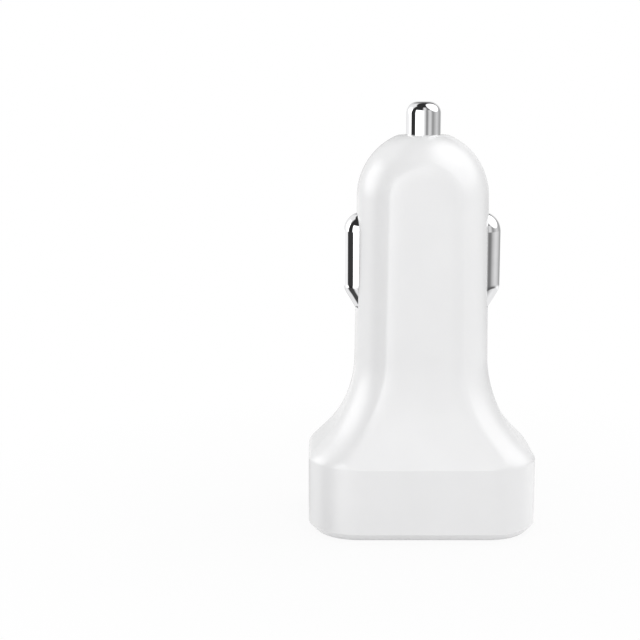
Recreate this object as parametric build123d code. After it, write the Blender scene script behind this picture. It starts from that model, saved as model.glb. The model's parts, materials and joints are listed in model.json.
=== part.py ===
from build123d import *
import os
from math import atan2, cos, pi, sin, sqrt

# Car charger plug standing on its USB face with the nose contact up, in millimetres.
# X runs across the wide side, Y across the thin side (front at -Y), Z along the plug.

# Housing form
HEAD_WIDTH = 36.0
HEAD_DEPTH = 25.6
HEAD_CORNER = 8.0
HEAD_HEIGHT = 11.5
FLARE_HEIGHT = 16.0
NECK_HEIGHT = 25.2
NECK_RADIUS = 10.4
NECK_DRAFT = 0.25
PANEL_INSET = 1.2
PANEL_EDGE = 1.5
FLARE_LEAD = 0.4
NOSE_FLAT = 3.9
WALL = 1.8
CORE_CORNER = 7.0
STEP_RISE = 5.5

# Face plate
PLATE_THICKNESS = 1.6
FACE_CHAMFER = 1.2
SKIRT_WALL = 1.0
SKIRT_HEIGHT = 3.4
SKIRT_CLEARANCE = 0.15
SNAP_LENGTH = 9.0
SNAP_HEIGHT = 1.0
SNAP_REACH = 0.4
SNAP_PLAY = 0.1
POST_WIDTH = 2.2
POST_GAP = 0.6
POST_INSET = 6.8

# USB ports
PORT_WIDTH = 5.7
PORT_LENGTH = 12.9
PORT_EDGE = 7.0
PORT_BRIDGE = 3.0
PORT_CORNER = 0.5
SHELL_LAP = 0.1
SHELL_SHEET = 0.3
SHELL_GAP = 0.05
SHELL_LEG = 2.0
LEG_STICKOUT = 0.8
FINGER_WIDTH = 1.6
FINGER_PITCH = 6.4
FINGER_REACH = 0.55
FINGER_MARGIN = 1.6
FINGER_SLOT = 0.2
INSULATOR_BLOCK = 2.2
TONGUE_THICKNESS = 1.84
TONGUE_WIDTH = 11.1
TONGUE_BACK_GAP = 0.6
TONGUE_RECESS = 1.0
CONTACT_WIDTH = 1.0
CONTACT_SHEET = 0.2
CONTACT_CROWN = 0.22
CONTACT_RECESS = 0.8
CONTACT_INNER_PITCH = 2.0
CONTACT_OUTER_PITCH = 7.0
SLOT_PLAY = 0.05

# Indicator
LED_EDGE = 7.1
LED_PIPE_DIAMETER = 2.1
LED_PIPE_PLAY = 0.06
LED_PIPE_RECESS = 0.05
LED_FLANGE = 0.55
LED_FLANGE_HEIGHT = 0.8
LED_WIDTH = 2.0
LED_DEPTH = 1.3
LED_HEIGHT = 1.1
LED_GAP = 0.25

# Boards
BOARD_RISE = 1.4
POCKET_INSET = 3.0
BOARD_CLEARANCE = 0.2
PORT_BOARD_THICKNESS = 1.2
POWER_BOARD_THICKNESS = 1.0
POWER_BOARD_WIDTH = 16.0
POWER_BOARD_FOOT = 11.0
TENON_WIDTH = 2.0

# Nose contact
PIN_RADIUS = 2.7
PIN_EXPOSED = 5.1
PIN_TIP_ROUND = 1.8
PIN_PLAY = 0.1
PIN_FLANGE = 1.0
PIN_FLANGE_HEIGHT = 1.0
SPIGOT_HEIGHT = 2.4
NOSE_WALL = 2.4
CHAMBER_PLAY = 0.2
CHAMBER_WALL = 1.3
SPRING_LENGTH = 11.4
SPRING_WIRE = 0.6
SPRING_TURNS = 3
SPRING_PLAY = 0.2
SEAT_GAP = 0.05
CUP_FLOOR = 0.6
CUP_RIM = 0.9
CUP_WALL = 0.3
PRONG_SHEET = 0.6
PRONG_WIDTH = 4.0
PRONG_LENGTH = 3.0

# Side contacts
WING_RADIUS = 2.7
WING_PROTRUSION = 2.0
WING_SHEET = 0.45
WING_LENGTH = 15.0
WING_DROP = 2.5
WING_TIP = 3.0
WING_POINT = 0.8
WING_EASE = 0.05
WING_BEVEL_RISE = 2.9
WING_BEVEL_RUN = 2.2
WING_PLAY = 0.15
WING_TRAVEL = 1.9
TAB_WIDTH = 3.2
TAB_LENGTH = 0.9
LEAF_SHEET = 0.25
LEAF_WIDTH = 3.0
LEAF_DROP = 4.0
LEAF_BEND = 0.8
LEAF_GRIP = 1.8
LEAF_TOUCH = 0.03
LEAF_CURL = 1.6

# Parts on the power board
CAPACITOR_PLAY = 0.3
INPUT_CAPACITOR_LENGTH = 10.0
OUTPUT_CAPACITOR_LENGTH = 8.0
CAPACITOR_RISE = 1.0
LEAD_WIDTH = 0.6
LEAD_PITCH = 2.5
LEAD_REACH = 1.2
CAN_BEVEL = 0.4
INDUCTOR_DIAMETER = 8.0
INDUCTOR_HEIGHT = 5.5
INDUCTOR_FLANGE = 1.0
INDUCTOR_HUB = 3.6
INDUCTOR_RISE = 7.1
WINDING_INSET = 0.6
CHIP_WIDTH = 3.9
CHIP_LENGTH = 4.9
CHIP_HEIGHT = 1.4
CHIP_STANDOFF = 0.1
CHIP_LEAD_WIDTH = 0.42
CHIP_LEAD_SHEET = 0.2
CHIP_LEAD_REACH = 1.0
CHIP_LEAD_PITCH = 1.27
CHIP_OFFSET = 3.9
DIODE_WIDTH = 2.6
DIODE_LENGTH = 4.3
DIODE_HEIGHT = 2.0
DIODE_TAB = 0.5
DIODE_TAB_SHEET = 0.25
RESISTOR_LENGTH = 2.0
RESISTOR_WIDTH = 1.2
RESISTOR_HEIGHT = 0.5
RESISTOR_GAP = 0.7

# Heights and places that follow from the sizes above
SEAM_Z = PLATE_THICKNESS
CREASE_Z = HEAD_HEIGHT
FLARE_Z = CREASE_Z + FLARE_HEIGHT
DOME_Z = FLARE_Z + NECK_HEIGHT
NOSE_Z = DOME_Z + sqrt(NECK_RADIUS**2 - NOSE_FLAT**2)
PIN_TIP_Z = NOSE_Z + PIN_EXPOSED
FLARE_RADIUS = NECK_RADIUS + NECK_DRAFT
PANEL_Y = NECK_RADIUS - PANEL_INSET
STEP_Z = CREASE_Z + STEP_RISE
LEDGE_Z = CREASE_Z + BOARD_RISE
PORT_BOARD_Z = LEDGE_Z - PORT_BOARD_THICKNESS
SHELL_WIDTH = PORT_WIDTH + 2 * SHELL_LAP
SHELL_LENGTH = PORT_LENGTH + 2 * SHELL_LAP
SHELL_Z = PLATE_THICKNESS + SHELL_GAP
PORT_LEFT_X = PORT_EDGE + PORT_WIDTH / 2 - HEAD_WIDTH / 2
PORT_RIGHT_X = PORT_LEFT_X + PORT_WIDTH + PORT_BRIDGE
TONGUE_X = SHELL_SHEET + TONGUE_BACK_GAP + TONGUE_THICKNESS - SHELL_WIDTH / 2
TONGUE_Z = SHELL_Z + TONGUE_RECESS
BLOCK_Z = PORT_BOARD_Z - INSULATOR_BLOCK
LED_X = HEAD_WIDTH / 2 - LED_EDGE
POST_X = HEAD_WIDTH / 2 - PORT_EDGE + SHELL_LAP + POST_GAP + POST_WIDTH / 2
POST_Y = HEAD_DEPTH / 2 - POST_INSET
BRIDGE_X = PORT_LEFT_X + (PORT_WIDTH + PORT_BRIDGE) / 2
SPACE_X = (PORT_RIGHT_X + SHELL_WIDTH / 2 + LED_X - LED_WIDTH / 2) / 2
CHAMBER_Z = NOSE_Z - NOSE_WALL
FLANGE_RADIUS = PIN_RADIUS + PIN_FLANGE
CHAMBER_RADIUS = FLANGE_RADIUS + CHAMBER_PLAY
TUBE_RADIUS = CHAMBER_RADIUS + CHAMBER_WALL
FLANGE_Z = CHAMBER_Z - PIN_FLANGE_HEIGHT
CUP_Z = FLANGE_Z - SPRING_LENGTH
CUP_RADIUS = CHAMBER_RADIUS - CHAMBER_PLAY
SPRING_RADIUS = CUP_RADIUS - CUP_WALL - SPRING_PLAY - SPRING_WIRE / 2
SPIGOT_RADIUS = SPRING_RADIUS - SPRING_WIRE / 2 - SPRING_PLAY
BOARD_TOP_Z = CUP_Z - CUP_FLOOR
WING_CREST_X = NECK_RADIUS + WING_PROTRUSION
WING_X = WING_CREST_X - WING_RADIUS
WING_TOP_Z = DOME_Z - WING_DROP
WING_BASE_Z = WING_TOP_Z - WING_LENGTH
CORE_X = NECK_RADIUS - WALL - CORE_CORNER
CORE_Y = PANEL_Y - WALL - CORE_CORNER
TAB_X = CORE_X + sqrt(CORE_CORNER**2 - (TAB_WIDTH / 2 - CORE_Y) ** 2) - WING_PLAY
ROOT_X = TAB_X - WING_SHEET
NARROW_X = ROOT_X - WING_TRAVEL - 3 * WING_PLAY
LEAF_Z = WING_BASE_Z - LEAF_DROP
CAPACITOR_RADIUS = (PANEL_Y - WALL - POWER_BOARD_THICKNESS / 2 - 2 * CAPACITOR_PLAY) / 2
CAPACITOR_Y = POWER_BOARD_THICKNESS / 2 + CAPACITOR_PLAY + CAPACITOR_RADIUS
CAPACITOR_Z = LEAF_Z + CAPACITOR_RISE
INDUCTOR_Z = LEDGE_Z + INDUCTOR_RISE
BOARD_FACE = POWER_BOARD_THICKNESS / 2


def block(x0, x1, y0, y1, z0, z1):
    """Box between limits."""
    return Pos((x0 + x1) / 2, (y0 + y1) / 2, (z0 + z1) / 2) * Box(x1 - x0, y1 - y0, z1 - z0)


def rod(radius, x, y, z0, z1):
    """Upright cylinder between two heights."""
    return Pos(x, y, (z0 + z1) / 2) * Cylinder(radius, z1 - z0)


def prism_y(points, y0, y1):
    """Outline of (x, z) points drawn out along Y."""
    face = make_face(Polyline(*points, close=True))
    return Pos(0, y1, 0) * extrude(Plane.XZ * face, y1 - y0)


def widening(z):
    """Share of the flare reached at a height: 0 at the neck, 1 at the crease, on a circular arc."""
    spread = HEAD_WIDTH / 2 - FLARE_RADIUS
    arc = (spread**2 + FLARE_HEIGHT**2) / (2 * spread)
    return (arc - sqrt(arc**2 - (FLARE_Z - z) ** 2)) / spread


def flare_section(z):
    """Rounded rectangle of the flare's outside at a height; depth and corner run ahead of the width."""
    share = widening(z)
    ahead = share + FLARE_LEAD * share * (1 - share)
    half_x = FLARE_RADIUS + (HEAD_WIDTH / 2 - FLARE_RADIUS) * share
    half_y = FLARE_RADIUS + (HEAD_DEPTH / 2 - FLARE_RADIUS) * ahead
    corner = FLARE_RADIUS + (HEAD_CORNER - FLARE_RADIUS) * ahead
    return Pos(0, 0, z) * RectangleRounded(2 * half_x, 2 * half_y, corner)


def neck_section():
    """Circle at the top of the flare, in eight arcs that pair with a rounded rectangle's sides."""
    side = 1.0
    arcs = []
    for quarter in range(4):
        arcs.append(CenterArc((0, 0), FLARE_RADIUS, 90 * quarter + side, 90 - 2 * side))
        arcs.append(CenterArc((0, 0), FLARE_RADIUS, 90 * quarter + 90 - side, 2 * side))
    return Pos(0, 0, FLARE_Z) * make_face(arcs)


def panel_cutter():
    """Space outside the back panel: flat along the neck, an arc down the flare to the crease."""
    foot = HEAD_DEPTH / 2
    spread = foot - PANEL_Y
    arc = (spread**2 + FLARE_HEIGHT**2) / (2 * spread)
    middle = PANEL_Y + arc - sqrt(arc**2 - (FLARE_HEIGHT / 2) ** 2)
    far = HEAD_DEPTH
    top = PIN_TIP_Z
    lines = [
        Line((PANEL_Y, top), (PANEL_Y, FLARE_Z)),
        ThreePointArc((PANEL_Y, FLARE_Z), (middle, FLARE_Z - FLARE_HEIGHT / 2), (foot, CREASE_Z)),
        Line((foot, CREASE_Z), (far, CREASE_Z)),
        Line((far, CREASE_Z), (far, top)),
        Line((far, top), (PANEL_Y, top)),
    ]
    return extrude(Plane.YZ * make_face(lines), HEAD_WIDTH, both=True)


def plug_form():
    """Outside of flare, neck and dome with the two panels cut and their edges rounded."""
    steps = 6
    heights = [CREASE_Z + FLARE_HEIGHT * (k / steps) ** 1.25 for k in range(steps)]
    flare = loft([flare_section(z) for z in heights] + [neck_section()])
    half_turn = atan2(NOSE_Z - DOME_Z, NOSE_FLAT) / 2
    bend = (NECK_RADIUS * cos(half_turn), DOME_Z + NECK_RADIUS * sin(half_turn))
    lines = [
        Line((0, FLARE_Z), (FLARE_RADIUS, FLARE_Z)),
        Line((FLARE_RADIUS, FLARE_Z), (NECK_RADIUS, DOME_Z)),
        ThreePointArc((NECK_RADIUS, DOME_Z), bend, (NOSE_FLAT, NOSE_Z)),
        Line((NOSE_FLAT, NOSE_Z), (0, NOSE_Z)),
        Line((0, NOSE_Z), (0, FLARE_Z)),
    ]
    neck = revolve(Plane.XZ * make_face(lines), Axis.Z)
    cutter = panel_cutter()
    form = flare + neck - cutter - mirror(cutter, Plane.XZ)
    return fillet(panel_edges(form), PANEL_EDGE)


def cavity_section(z):
    """Rounded rectangle of the hollow inside that leaves the wall at a height."""
    share = widening(z) if z < FLARE_Z else 0.0
    half_x = NECK_RADIUS + (HEAD_WIDTH / 2 - NECK_RADIUS) * share - WALL
    half_y = PANEL_Y + (HEAD_DEPTH / 2 - PANEL_Y) * share - WALL
    return RectangleRounded(2 * half_x, 2 * half_y, CORE_CORNER)


def cavity():
    """Hollow over the board ledge: a wide step in the flare, then the neck bore around the spring tube."""
    wide = extrude(Pos(0, 0, LEDGE_Z) * cavity_section(STEP_Z), STEP_Z - LEDGE_Z)
    bore = extrude(Pos(0, 0, LEDGE_Z) * cavity_section(FLARE_Z), DOME_Z - LEDGE_Z)
    return wide + bore - rod(TUBE_RADIUS, 0, 0, BOARD_TOP_Z, NOSE_Z)


def panel_edges(form):
    """Edges where the panels meet the round of the plug."""
    flat_kinds = (GeomType.PLANE, GeomType.CYLINDER)
    panels = [f for f in form.faces() if f.geom_type in flat_kinds and abs(f.center().Y) > PANEL_Y / 2]
    chosen = []
    for edge in form.edges():
        middle = edge.position_at(0.5)
        touching = [f for f in panels if f.distance_to(middle) < 1e-4]
        if len(touching) == 1 and middle.Z > CREASE_Z + 0.05:
            chosen.append(edge)
    return chosen


def head_block(inset, z0, z1):
    """Rounded block that follows the head's outline."""
    outline = RectangleRounded(HEAD_WIDTH - 2 * inset, HEAD_DEPTH - 2 * inset, HEAD_CORNER - inset)
    return extrude(Pos(0, 0, z0) * outline, z1 - z0)


def skirt_walls():
    """Four straight walls on the plate's inner face that locate it in the shell."""
    inset = WALL + SKIRT_CLEARANCE
    face_x = HEAD_WIDTH / 2 - inset
    face_y = HEAD_DEPTH / 2 - inset
    half_x = HEAD_WIDTH / 2 - HEAD_CORNER
    half_y = HEAD_DEPTH / 2 - HEAD_CORNER
    top = SEAM_Z + SKIRT_HEIGHT
    back = block(-half_x, half_x, face_y - SKIRT_WALL, face_y, SEAM_Z, top)
    side = block(face_x - SKIRT_WALL, face_x, -half_y, half_y, SEAM_Z, top)
    return back, mirror(back, Plane.XZ), side, mirror(side, Plane.YZ)


def snap_bars(reach, play):
    """Two bars along the long sides of the skirt that hold the face plate in the shell."""
    middle = SEAM_Z + SKIRT_HEIGHT - SNAP_HEIGHT
    face = HEAD_DEPTH / 2 - WALL - SKIRT_CLEARANCE
    root = face - SKIRT_WALL / 2
    low = middle - SNAP_HEIGHT / 2 - play
    high = middle + SNAP_HEIGHT / 2 + play
    half = SNAP_LENGTH / 2 + play
    bar = block(-half, half, root, face + reach + play, low, high)
    return bar, mirror(bar, Plane.XZ)


def wing_half(radius, tip, shoulder, foot):
    """Half of a wing's side view: straight side, then a long and a short arc to the middle line."""
    short = WING_POINT * radius
    rise = tip - short
    long = (radius**2 + rise**2 - short**2) / (2 * (radius - short))
    turn = atan2(rise, long - radius)
    join = (radius - long + long * cos(turn), shoulder + long * sin(turn))
    bend = (radius - long + long * cos(turn / 2), shoulder + long * sin(turn / 2))
    end_turn = (turn + pi / 2) / 2
    end_bend = (short * cos(end_turn), shoulder + rise + short * sin(end_turn))
    lines = [
        Line((0, foot), (radius, foot)),
        Line((radius, foot), (radius, shoulder)),
        ThreePointArc((radius, shoulder), bend, join),
        ThreePointArc(join, end_bend, (0, shoulder + tip)),
        Line((0, shoulder + tip), (0, foot)),
    ]
    return make_face(lines)


def wing_outline(radius, tip, shoulder, foot):
    """Whole side view of a wing in the YZ plane."""
    half = wing_half(radius, tip, shoulder, foot)
    return Plane.YZ * (half + mirror(half, Plane.YZ))


def wing_slots():
    """Openings in the neck wall that the side contacts slide through."""
    middle = NECK_RADIUS - WALL / 2
    shoulder = WING_TOP_Z - WING_TIP
    outline = wing_outline(WING_RADIUS + WING_PLAY, WING_TIP + WING_PLAY, shoulder, WING_BASE_Z - WING_PLAY)
    slot = Pos(middle, 0, 0) * extrude(outline, 2 * WALL, both=True)
    return slot, Rot(0, 0, 180) * slot


def body_shell():
    """Hollow housing: head wall, flare, neck, dome, spring tube, board ledge and wing slots."""
    shell = plug_form() + head_block(0, SEAM_Z, CREASE_Z)
    shell -= cavity()
    shell -= head_block(WALL, SEAM_Z, CREASE_Z)
    shell -= head_block(POCKET_INSET, SEAM_Z, LEDGE_Z)
    shell -= rod(CHAMBER_RADIUS, 0, 0, BOARD_TOP_Z, CHAMBER_Z)
    shell -= rod(PIN_RADIUS + PIN_PLAY, 0, 0, CHAMBER_Z, NOSE_Z)
    for slot in wing_slots():
        shell -= slot
    for groove in snap_bars(SNAP_REACH, SNAP_PLAY):
        shell -= groove
    return shell


def face_plate():
    """Chamfered plate with two port openings, the indicator hole, a skirt with snaps and four posts."""
    plate = head_block(0, 0, SEAM_Z)
    plate = chamfer(plate.edges().group_by(Axis.Z)[0], FACE_CHAMFER)
    for x in (PORT_LEFT_X, PORT_RIGHT_X):
        opening = Pos(x, 0, 0) * RectangleRounded(PORT_WIDTH, PORT_LENGTH, PORT_CORNER)
        plate -= extrude(opening, SEAM_Z)
    plate -= rod(LED_PIPE_DIAMETER / 2 + LED_PIPE_PLAY, LED_X, 0, 0, SEAM_Z)
    for wall in skirt_walls():
        plate += wall
    for bar in snap_bars(SNAP_REACH, 0):
        plate += bar
    half = POST_WIDTH / 2
    for x in (-POST_X, POST_X):
        for y in (-POST_Y, POST_Y):
            plate += block(x - half, x + half, y - half, y + half, SEAM_Z, PORT_BOARD_Z)
    return plate


def led_light_pipe():
    """Clear rod behind the indicator dot, with a square collar on the plate's inner face."""
    top = PORT_BOARD_Z - LED_HEIGHT - LED_GAP
    pipe = rod(LED_PIPE_DIAMETER / 2, LED_X, 0, LED_PIPE_RECESS, top)
    half = LED_PIPE_DIAMETER / 2 + LED_FLANGE
    return pipe + block(LED_X - half, LED_X + half, -half, half, SEAM_Z, SEAM_Z + LED_FLANGE_HEIGHT)


def status_led():
    """Small lamp under the port board, over the light pipe."""
    half_x = LED_WIDTH / 2
    half_y = LED_DEPTH / 2
    base = block(LED_X - half_x, LED_X + half_x, -half_y, half_y, PORT_BOARD_Z - LED_HEIGHT / 2, PORT_BOARD_Z)
    lens_z = PORT_BOARD_Z - LED_HEIGHT
    lens = block(LED_X - half_y, LED_X + half_y, -half_y, half_y, lens_z, PORT_BOARD_Z)
    return base + lens


def usb_shell(x):
    """Folded sheet around a port: tube, two spring fingers cut from one wall, two legs."""
    inner_width = SHELL_WIDTH - 2 * SHELL_SHEET
    inner_length = SHELL_LENGTH - 2 * SHELL_SHEET
    ring = Rectangle(SHELL_WIDTH, SHELL_LENGTH) - Rectangle(inner_width, inner_length)
    shell = extrude(Pos(0, 0, SHELL_Z) * ring, PORT_BOARD_Z - SHELL_Z)
    low = SHELL_Z + FINGER_MARGIN
    high = BLOCK_Z - SHELL_SHEET
    wall_x = inner_width / 2
    middle = wall_x + SHELL_SHEET / 2
    half = SHELL_SHEET / 2
    for y in (-FINGER_PITCH / 2, FINGER_PITCH / 2):
        side = FINGER_WIDTH / 2
        window = side + FINGER_SLOT
        shell -= block(wall_x, wall_x + SHELL_SHEET, y - window, y + window, low, high)
        bend = low + 0.3 * (high - low)
        spine = [
            (middle, high + half),
            (middle, high - half),
            (middle - FINGER_REACH, bend),
            (middle, low + half),
        ]
        outline = [(px + half, pz) for px, pz in spine] + [(px - half, pz) for px, pz in reversed(spine)]
        shell += prism_y(outline, y - side, y + side)
    tip = LEDGE_Z + LEG_STICKOUT
    side = SHELL_LENGTH / 2
    leg = SHELL_LEG / 2
    shell += block(-leg, leg, side - SHELL_SHEET, side, BLOCK_Z, tip)
    shell += block(-leg, leg, -side, SHELL_SHEET - side, BLOCK_Z, tip)
    return Pos(x, 0, 0) * shell


def contact_rows():
    """Y places of the four contacts of a port."""
    inner = CONTACT_INNER_PITCH / 2
    outer = CONTACT_OUTER_PITCH / 2
    return (-outer, -inner, inner, outer)


def usb_insulator(x):
    """Moulding that closes the back of a port and carries the contact tongue."""
    inset = SHELL_SHEET + SLOT_PLAY
    half_x = SHELL_WIDTH / 2 - inset
    half_y = SHELL_LENGTH / 2 - inset
    body = block(-half_x, half_x, -half_y, half_y, BLOCK_Z, BLOCK_Z + INSULATOR_BLOCK)
    back = TONGUE_X - TONGUE_THICKNESS
    half = TONGUE_WIDTH / 2
    bevel = TONGUE_THICKNESS / 4
    outline = [
        (back, BLOCK_Z),
        (back, TONGUE_Z + bevel),
        (back + bevel, TONGUE_Z),
        (TONGUE_X - bevel, TONGUE_Z),
        (TONGUE_X, TONGUE_Z + bevel),
        (TONGUE_X, BLOCK_Z),
    ]
    body += prism_y(outline, -half, half)
    for y in contact_rows():
        side = CONTACT_WIDTH / 2 + SLOT_PLAY
        far = TONGUE_X + CONTACT_SHEET + SLOT_PLAY
        body -= block(TONGUE_X, far, y - side, y + side, BLOCK_Z, PORT_BOARD_Z)
    return Pos(x, 0, 0) * body


def usb_contacts(x):
    """Four crowned strips on the tongue with tails through the port board."""
    tip = TONGUE_Z + CONTACT_RECESS
    tail = LEDGE_Z + LEG_STICKOUT
    face = TONGUE_X + CONTACT_SHEET
    crown = face + CONTACT_CROWN
    run = (BLOCK_Z - tip) / 10
    outline = [
        (TONGUE_X, tail),
        (TONGUE_X, tip),
        (face, tip),
        (face, tip + run),
        (crown, tip + 2 * run),
        (crown, tip + 4 * run),
        (face, tip + 6 * run),
        (face, tail),
    ]
    strips = []
    for y in contact_rows():
        strips.append(Pos(x, 0, 0) * prism_y(outline, y - CONTACT_WIDTH / 2, y + CONTACT_WIDTH / 2))
    return Compound(children=strips)


def tenons(play, z0, z1):
    """Feet of the power board, or with play the slots for them in the port board."""
    half = TENON_WIDTH / 2 + play
    side = BOARD_FACE + play
    return [block(x - half, x + half, -side, side, z0, z1) for x in (BRIDGE_X, SPACE_X)]


def port_board():
    """Board on the ledge with slots for the shell legs, the contact tails and the power board's feet."""
    board = head_block(POCKET_INSET + BOARD_CLEARANCE, PORT_BOARD_Z, LEDGE_Z)
    leg = SHELL_LEG / 2 + SLOT_PLAY
    side = SHELL_LENGTH / 2
    for x in (PORT_LEFT_X, PORT_RIGHT_X):
        for sign in (-1, 1):
            y0 = sign * side - (SLOT_PLAY if sign < 0 else SHELL_SHEET + SLOT_PLAY)
            y1 = y0 + SHELL_SHEET + 2 * SLOT_PLAY
            board -= block(x - leg, x + leg, y0, y1, PORT_BOARD_Z, LEDGE_Z)
        for y in contact_rows():
            half = CONTACT_WIDTH / 2 + SLOT_PLAY
            x0 = x + TONGUE_X - SLOT_PLAY
            x1 = x + TONGUE_X + CONTACT_SHEET + SLOT_PLAY
            board -= block(x0, x1, y - half, y + half, PORT_BOARD_Z, LEDGE_Z)
    for slot in tenons(SLOT_PLAY, PORT_BOARD_Z, LEDGE_Z):
        board -= slot
    return board


def power_board():
    """Upright board: wide foot on the port board, narrow part between the wings up to the spring cup."""
    wide = POWER_BOARD_WIDTH / 2
    step_z = LEDGE_Z + POWER_BOARD_FOOT
    board = block(-wide, wide, -BOARD_FACE, BOARD_FACE, LEDGE_Z, step_z)
    neck_top = BOARD_TOP_Z - PRONG_LENGTH
    board += block(-NARROW_X, NARROW_X, -BOARD_FACE, BOARD_FACE, step_z, neck_top)
    tab = CUP_RADIUS - CUP_WALL
    board += block(-tab, tab, -BOARD_FACE, BOARD_FACE, neck_top, BOARD_TOP_Z)
    for foot in tenons(0, PORT_BOARD_Z - LEG_STICKOUT / 2, LEDGE_Z):
        board += foot
    return board


def centre_pin():
    """Nose contact: rounded tip, flange that stops behind the nose wall, spigot for the spring."""
    low = FLANGE_Z - SPIGOT_HEIGHT
    pin = rod(PIN_RADIUS, 0, 0, FLANGE_Z, PIN_TIP_Z)
    pin = fillet(pin.edges().group_by(Axis.Z)[-1], PIN_TIP_ROUND)
    pin += rod(FLANGE_RADIUS, 0, 0, FLANGE_Z, CHAMBER_Z - SEAT_GAP)
    return pin + rod(SPIGOT_RADIUS, 0, 0, low, FLANGE_Z)


def pin_spring():
    """Coil spring of square wire between the cup floor and the pin's flange."""
    half = SPRING_WIRE / 2
    start = CUP_Z + SEAT_GAP + half
    height = FLANGE_Z - SEAT_GAP - half - start
    path = Pos(0, 0, start) * Helix(height / SPRING_TURNS, height, SPRING_RADIUS)
    section = Plane(origin=path @ 0, z_dir=path % 0) * Rectangle(SPRING_WIRE, SPRING_WIRE)
    return sweep(section, path, is_frenet=True)


def spring_cup():
    """Cup under the spring with two prongs that grip the top of the power board."""
    cup = rod(CUP_RADIUS, 0, 0, BOARD_TOP_Z, CUP_Z + CUP_RIM)
    cup -= rod(CUP_RADIUS - CUP_WALL, 0, 0, CUP_Z, CUP_Z + CUP_RIM)
    half = PRONG_WIDTH / 2
    near = BOARD_FACE + SLOT_PLAY
    far = near + PRONG_SHEET
    low = BOARD_TOP_Z - PRONG_LENGTH
    cup += block(-half, half, near, far, low, BOARD_TOP_Z)
    return cup + block(-half, half, -far, -near, low, BOARD_TOP_Z)


def wing_body(shoulder):
    """Round-backed bar that narrows to the top in front and side view, reaching in to the wing's root."""
    bar = rod(WING_RADIUS, WING_X, 0, WING_BASE_Z, WING_TOP_Z)
    root = block(ROOT_X, WING_X, -WING_RADIUS, WING_RADIUS, WING_BASE_Z, WING_TOP_Z)
    front = Plane.XZ * wing_half(WING_RADIUS + WING_EASE, WING_TIP, shoulder, WING_BASE_Z)
    front = Pos(WING_X, 0, 0) * extrude(front, WING_RADIUS, both=True)
    side = wing_outline(WING_RADIUS, WING_TIP, shoulder, WING_BASE_Z)
    side = Pos(ROOT_X, 0, 0) * extrude(side, WING_CREST_X + WING_EASE - ROOT_X)
    return (bar + root) & (front + root) & side


def bevel_cutter(offset):
    """Space under the sloping lower end of a wing, moved up by an offset."""
    low = WING_BASE_Z + offset
    high = low + WING_BEVEL_RISE
    crest = WING_CREST_X
    slope = WING_BEVEL_RUN / WING_BEVEL_RISE
    far = crest + slope * WING_BEVEL_RISE
    outline = [
        (crest - WING_BEVEL_RUN, low),
        (far, high + WING_BEVEL_RISE),
        (far, low - WING_BEVEL_RISE),
        (crest - WING_BEVEL_RUN, low - WING_BEVEL_RISE),
    ]
    return prism_y(outline, -2 * WING_RADIUS, 2 * WING_RADIUS)


def ground_wing():
    """Sprung side contact of folded sheet, with tabs that stop behind the neck wall."""
    shoulder = WING_TOP_Z - WING_TIP
    wing = wing_body(shoulder) - bevel_cutter(0)
    wide = WING_RADIUS - WING_SHEET
    foot = WING_BASE_Z + WING_SHEET
    outline = wing_outline(wide, WING_TIP - WING_SHEET, shoulder, foot)
    hollow = Pos(ROOT_X, 0, 0) * extrude(outline, WING_X - ROOT_X)
    narrow = LEAF_WIDTH / 2 + WING_PLAY
    deep = sqrt(wide**2 - narrow**2)
    hollow += block(ROOT_X, WING_X + deep, -narrow, narrow, foot, shoulder)
    wing -= hollow - bevel_cutter(2 * WING_SHEET)
    half = TAB_WIDTH / 2
    low = WING_BASE_Z - WING_PLAY - TAB_LENGTH
    high = WING_TOP_Z + WING_PLAY + TAB_LENGTH
    wing += block(ROOT_X, TAB_X, -half, half, low, WING_BASE_Z + WING_SHEET)
    wing += block(ROOT_X, TAB_X, -half, half, WING_TOP_Z - WING_SHEET, high)
    return wing


def ground_spring():
    """Bent leaf behind a side contact, its forked foot pushed over the edge of the power board."""
    reach = sqrt((WING_RADIUS - WING_SHEET) ** 2 - (LEAF_WIDTH / 2 + WING_PLAY) ** 2)
    crest = WING_X + reach - LEAF_TOUCH - LEAF_SHEET
    rise = WING_TOP_Z - WING_TIP - WING_BASE_Z
    knee = ROOT_X - 2 * LEAF_SHEET - WING_PLAY
    points = [
        (NARROW_X - LEAF_GRIP, 0, LEAF_Z),
        (knee, 0, LEAF_Z),
        (knee, 0, WING_BASE_Z + WING_SHEET + LEAF_BEND),
        (crest, 0, WING_BASE_Z + 0.75 * rise),
        (crest - LEAF_CURL, 0, WING_BASE_Z + rise),
    ]
    path = FilletPolyline(*points, radius=LEAF_BEND)
    section = Plane(origin=path @ 0, x_dir=(0, 1, 0), z_dir=path % 0) * Rectangle(LEAF_WIDTH, LEAF_SHEET)
    leaf = sweep(section, path)
    side = BOARD_FACE + SLOT_PLAY
    near = NARROW_X - 2 * LEAF_GRIP
    far = NARROW_X + SLOT_PLAY
    return leaf - block(near, far, -side, side, LEAF_Z - LEAF_BEND, LEAF_Z + LEAF_BEND)


def can(y, length):
    """Can capacitor standing beside the board, with a bevelled rim."""
    body = rod(CAPACITOR_RADIUS, 0, y, CAPACITOR_Z, CAPACITOR_Z + length)
    return chamfer(body.edges().group_by(Axis.Z)[-1], CAN_BEVEL)


def can_leads(y):
    """Two leads from a can's foot down and across to the board face."""
    face = BOARD_FACE if y > 0 else -BOARD_FACE
    low = CAPACITOR_Z - LEAD_REACH
    half = LEAD_WIDTH / 2
    leads = []
    for x in (-LEAD_PITCH / 2, LEAD_PITCH / 2):
        near, far = sorted((face, y + (half if y > 0 else -half)))
        lead = block(x - half, x + half, y - half, y + half, low, CAPACITOR_Z)
        leads.append(lead + block(x - half, x + half, near, far, low, low + LEAD_WIDTH))
    return leads


def capacitor_leads():
    """Leads of both cans."""
    return Compound(children=can_leads(-CAPACITOR_Y) + can_leads(CAPACITOR_Y))


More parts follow.
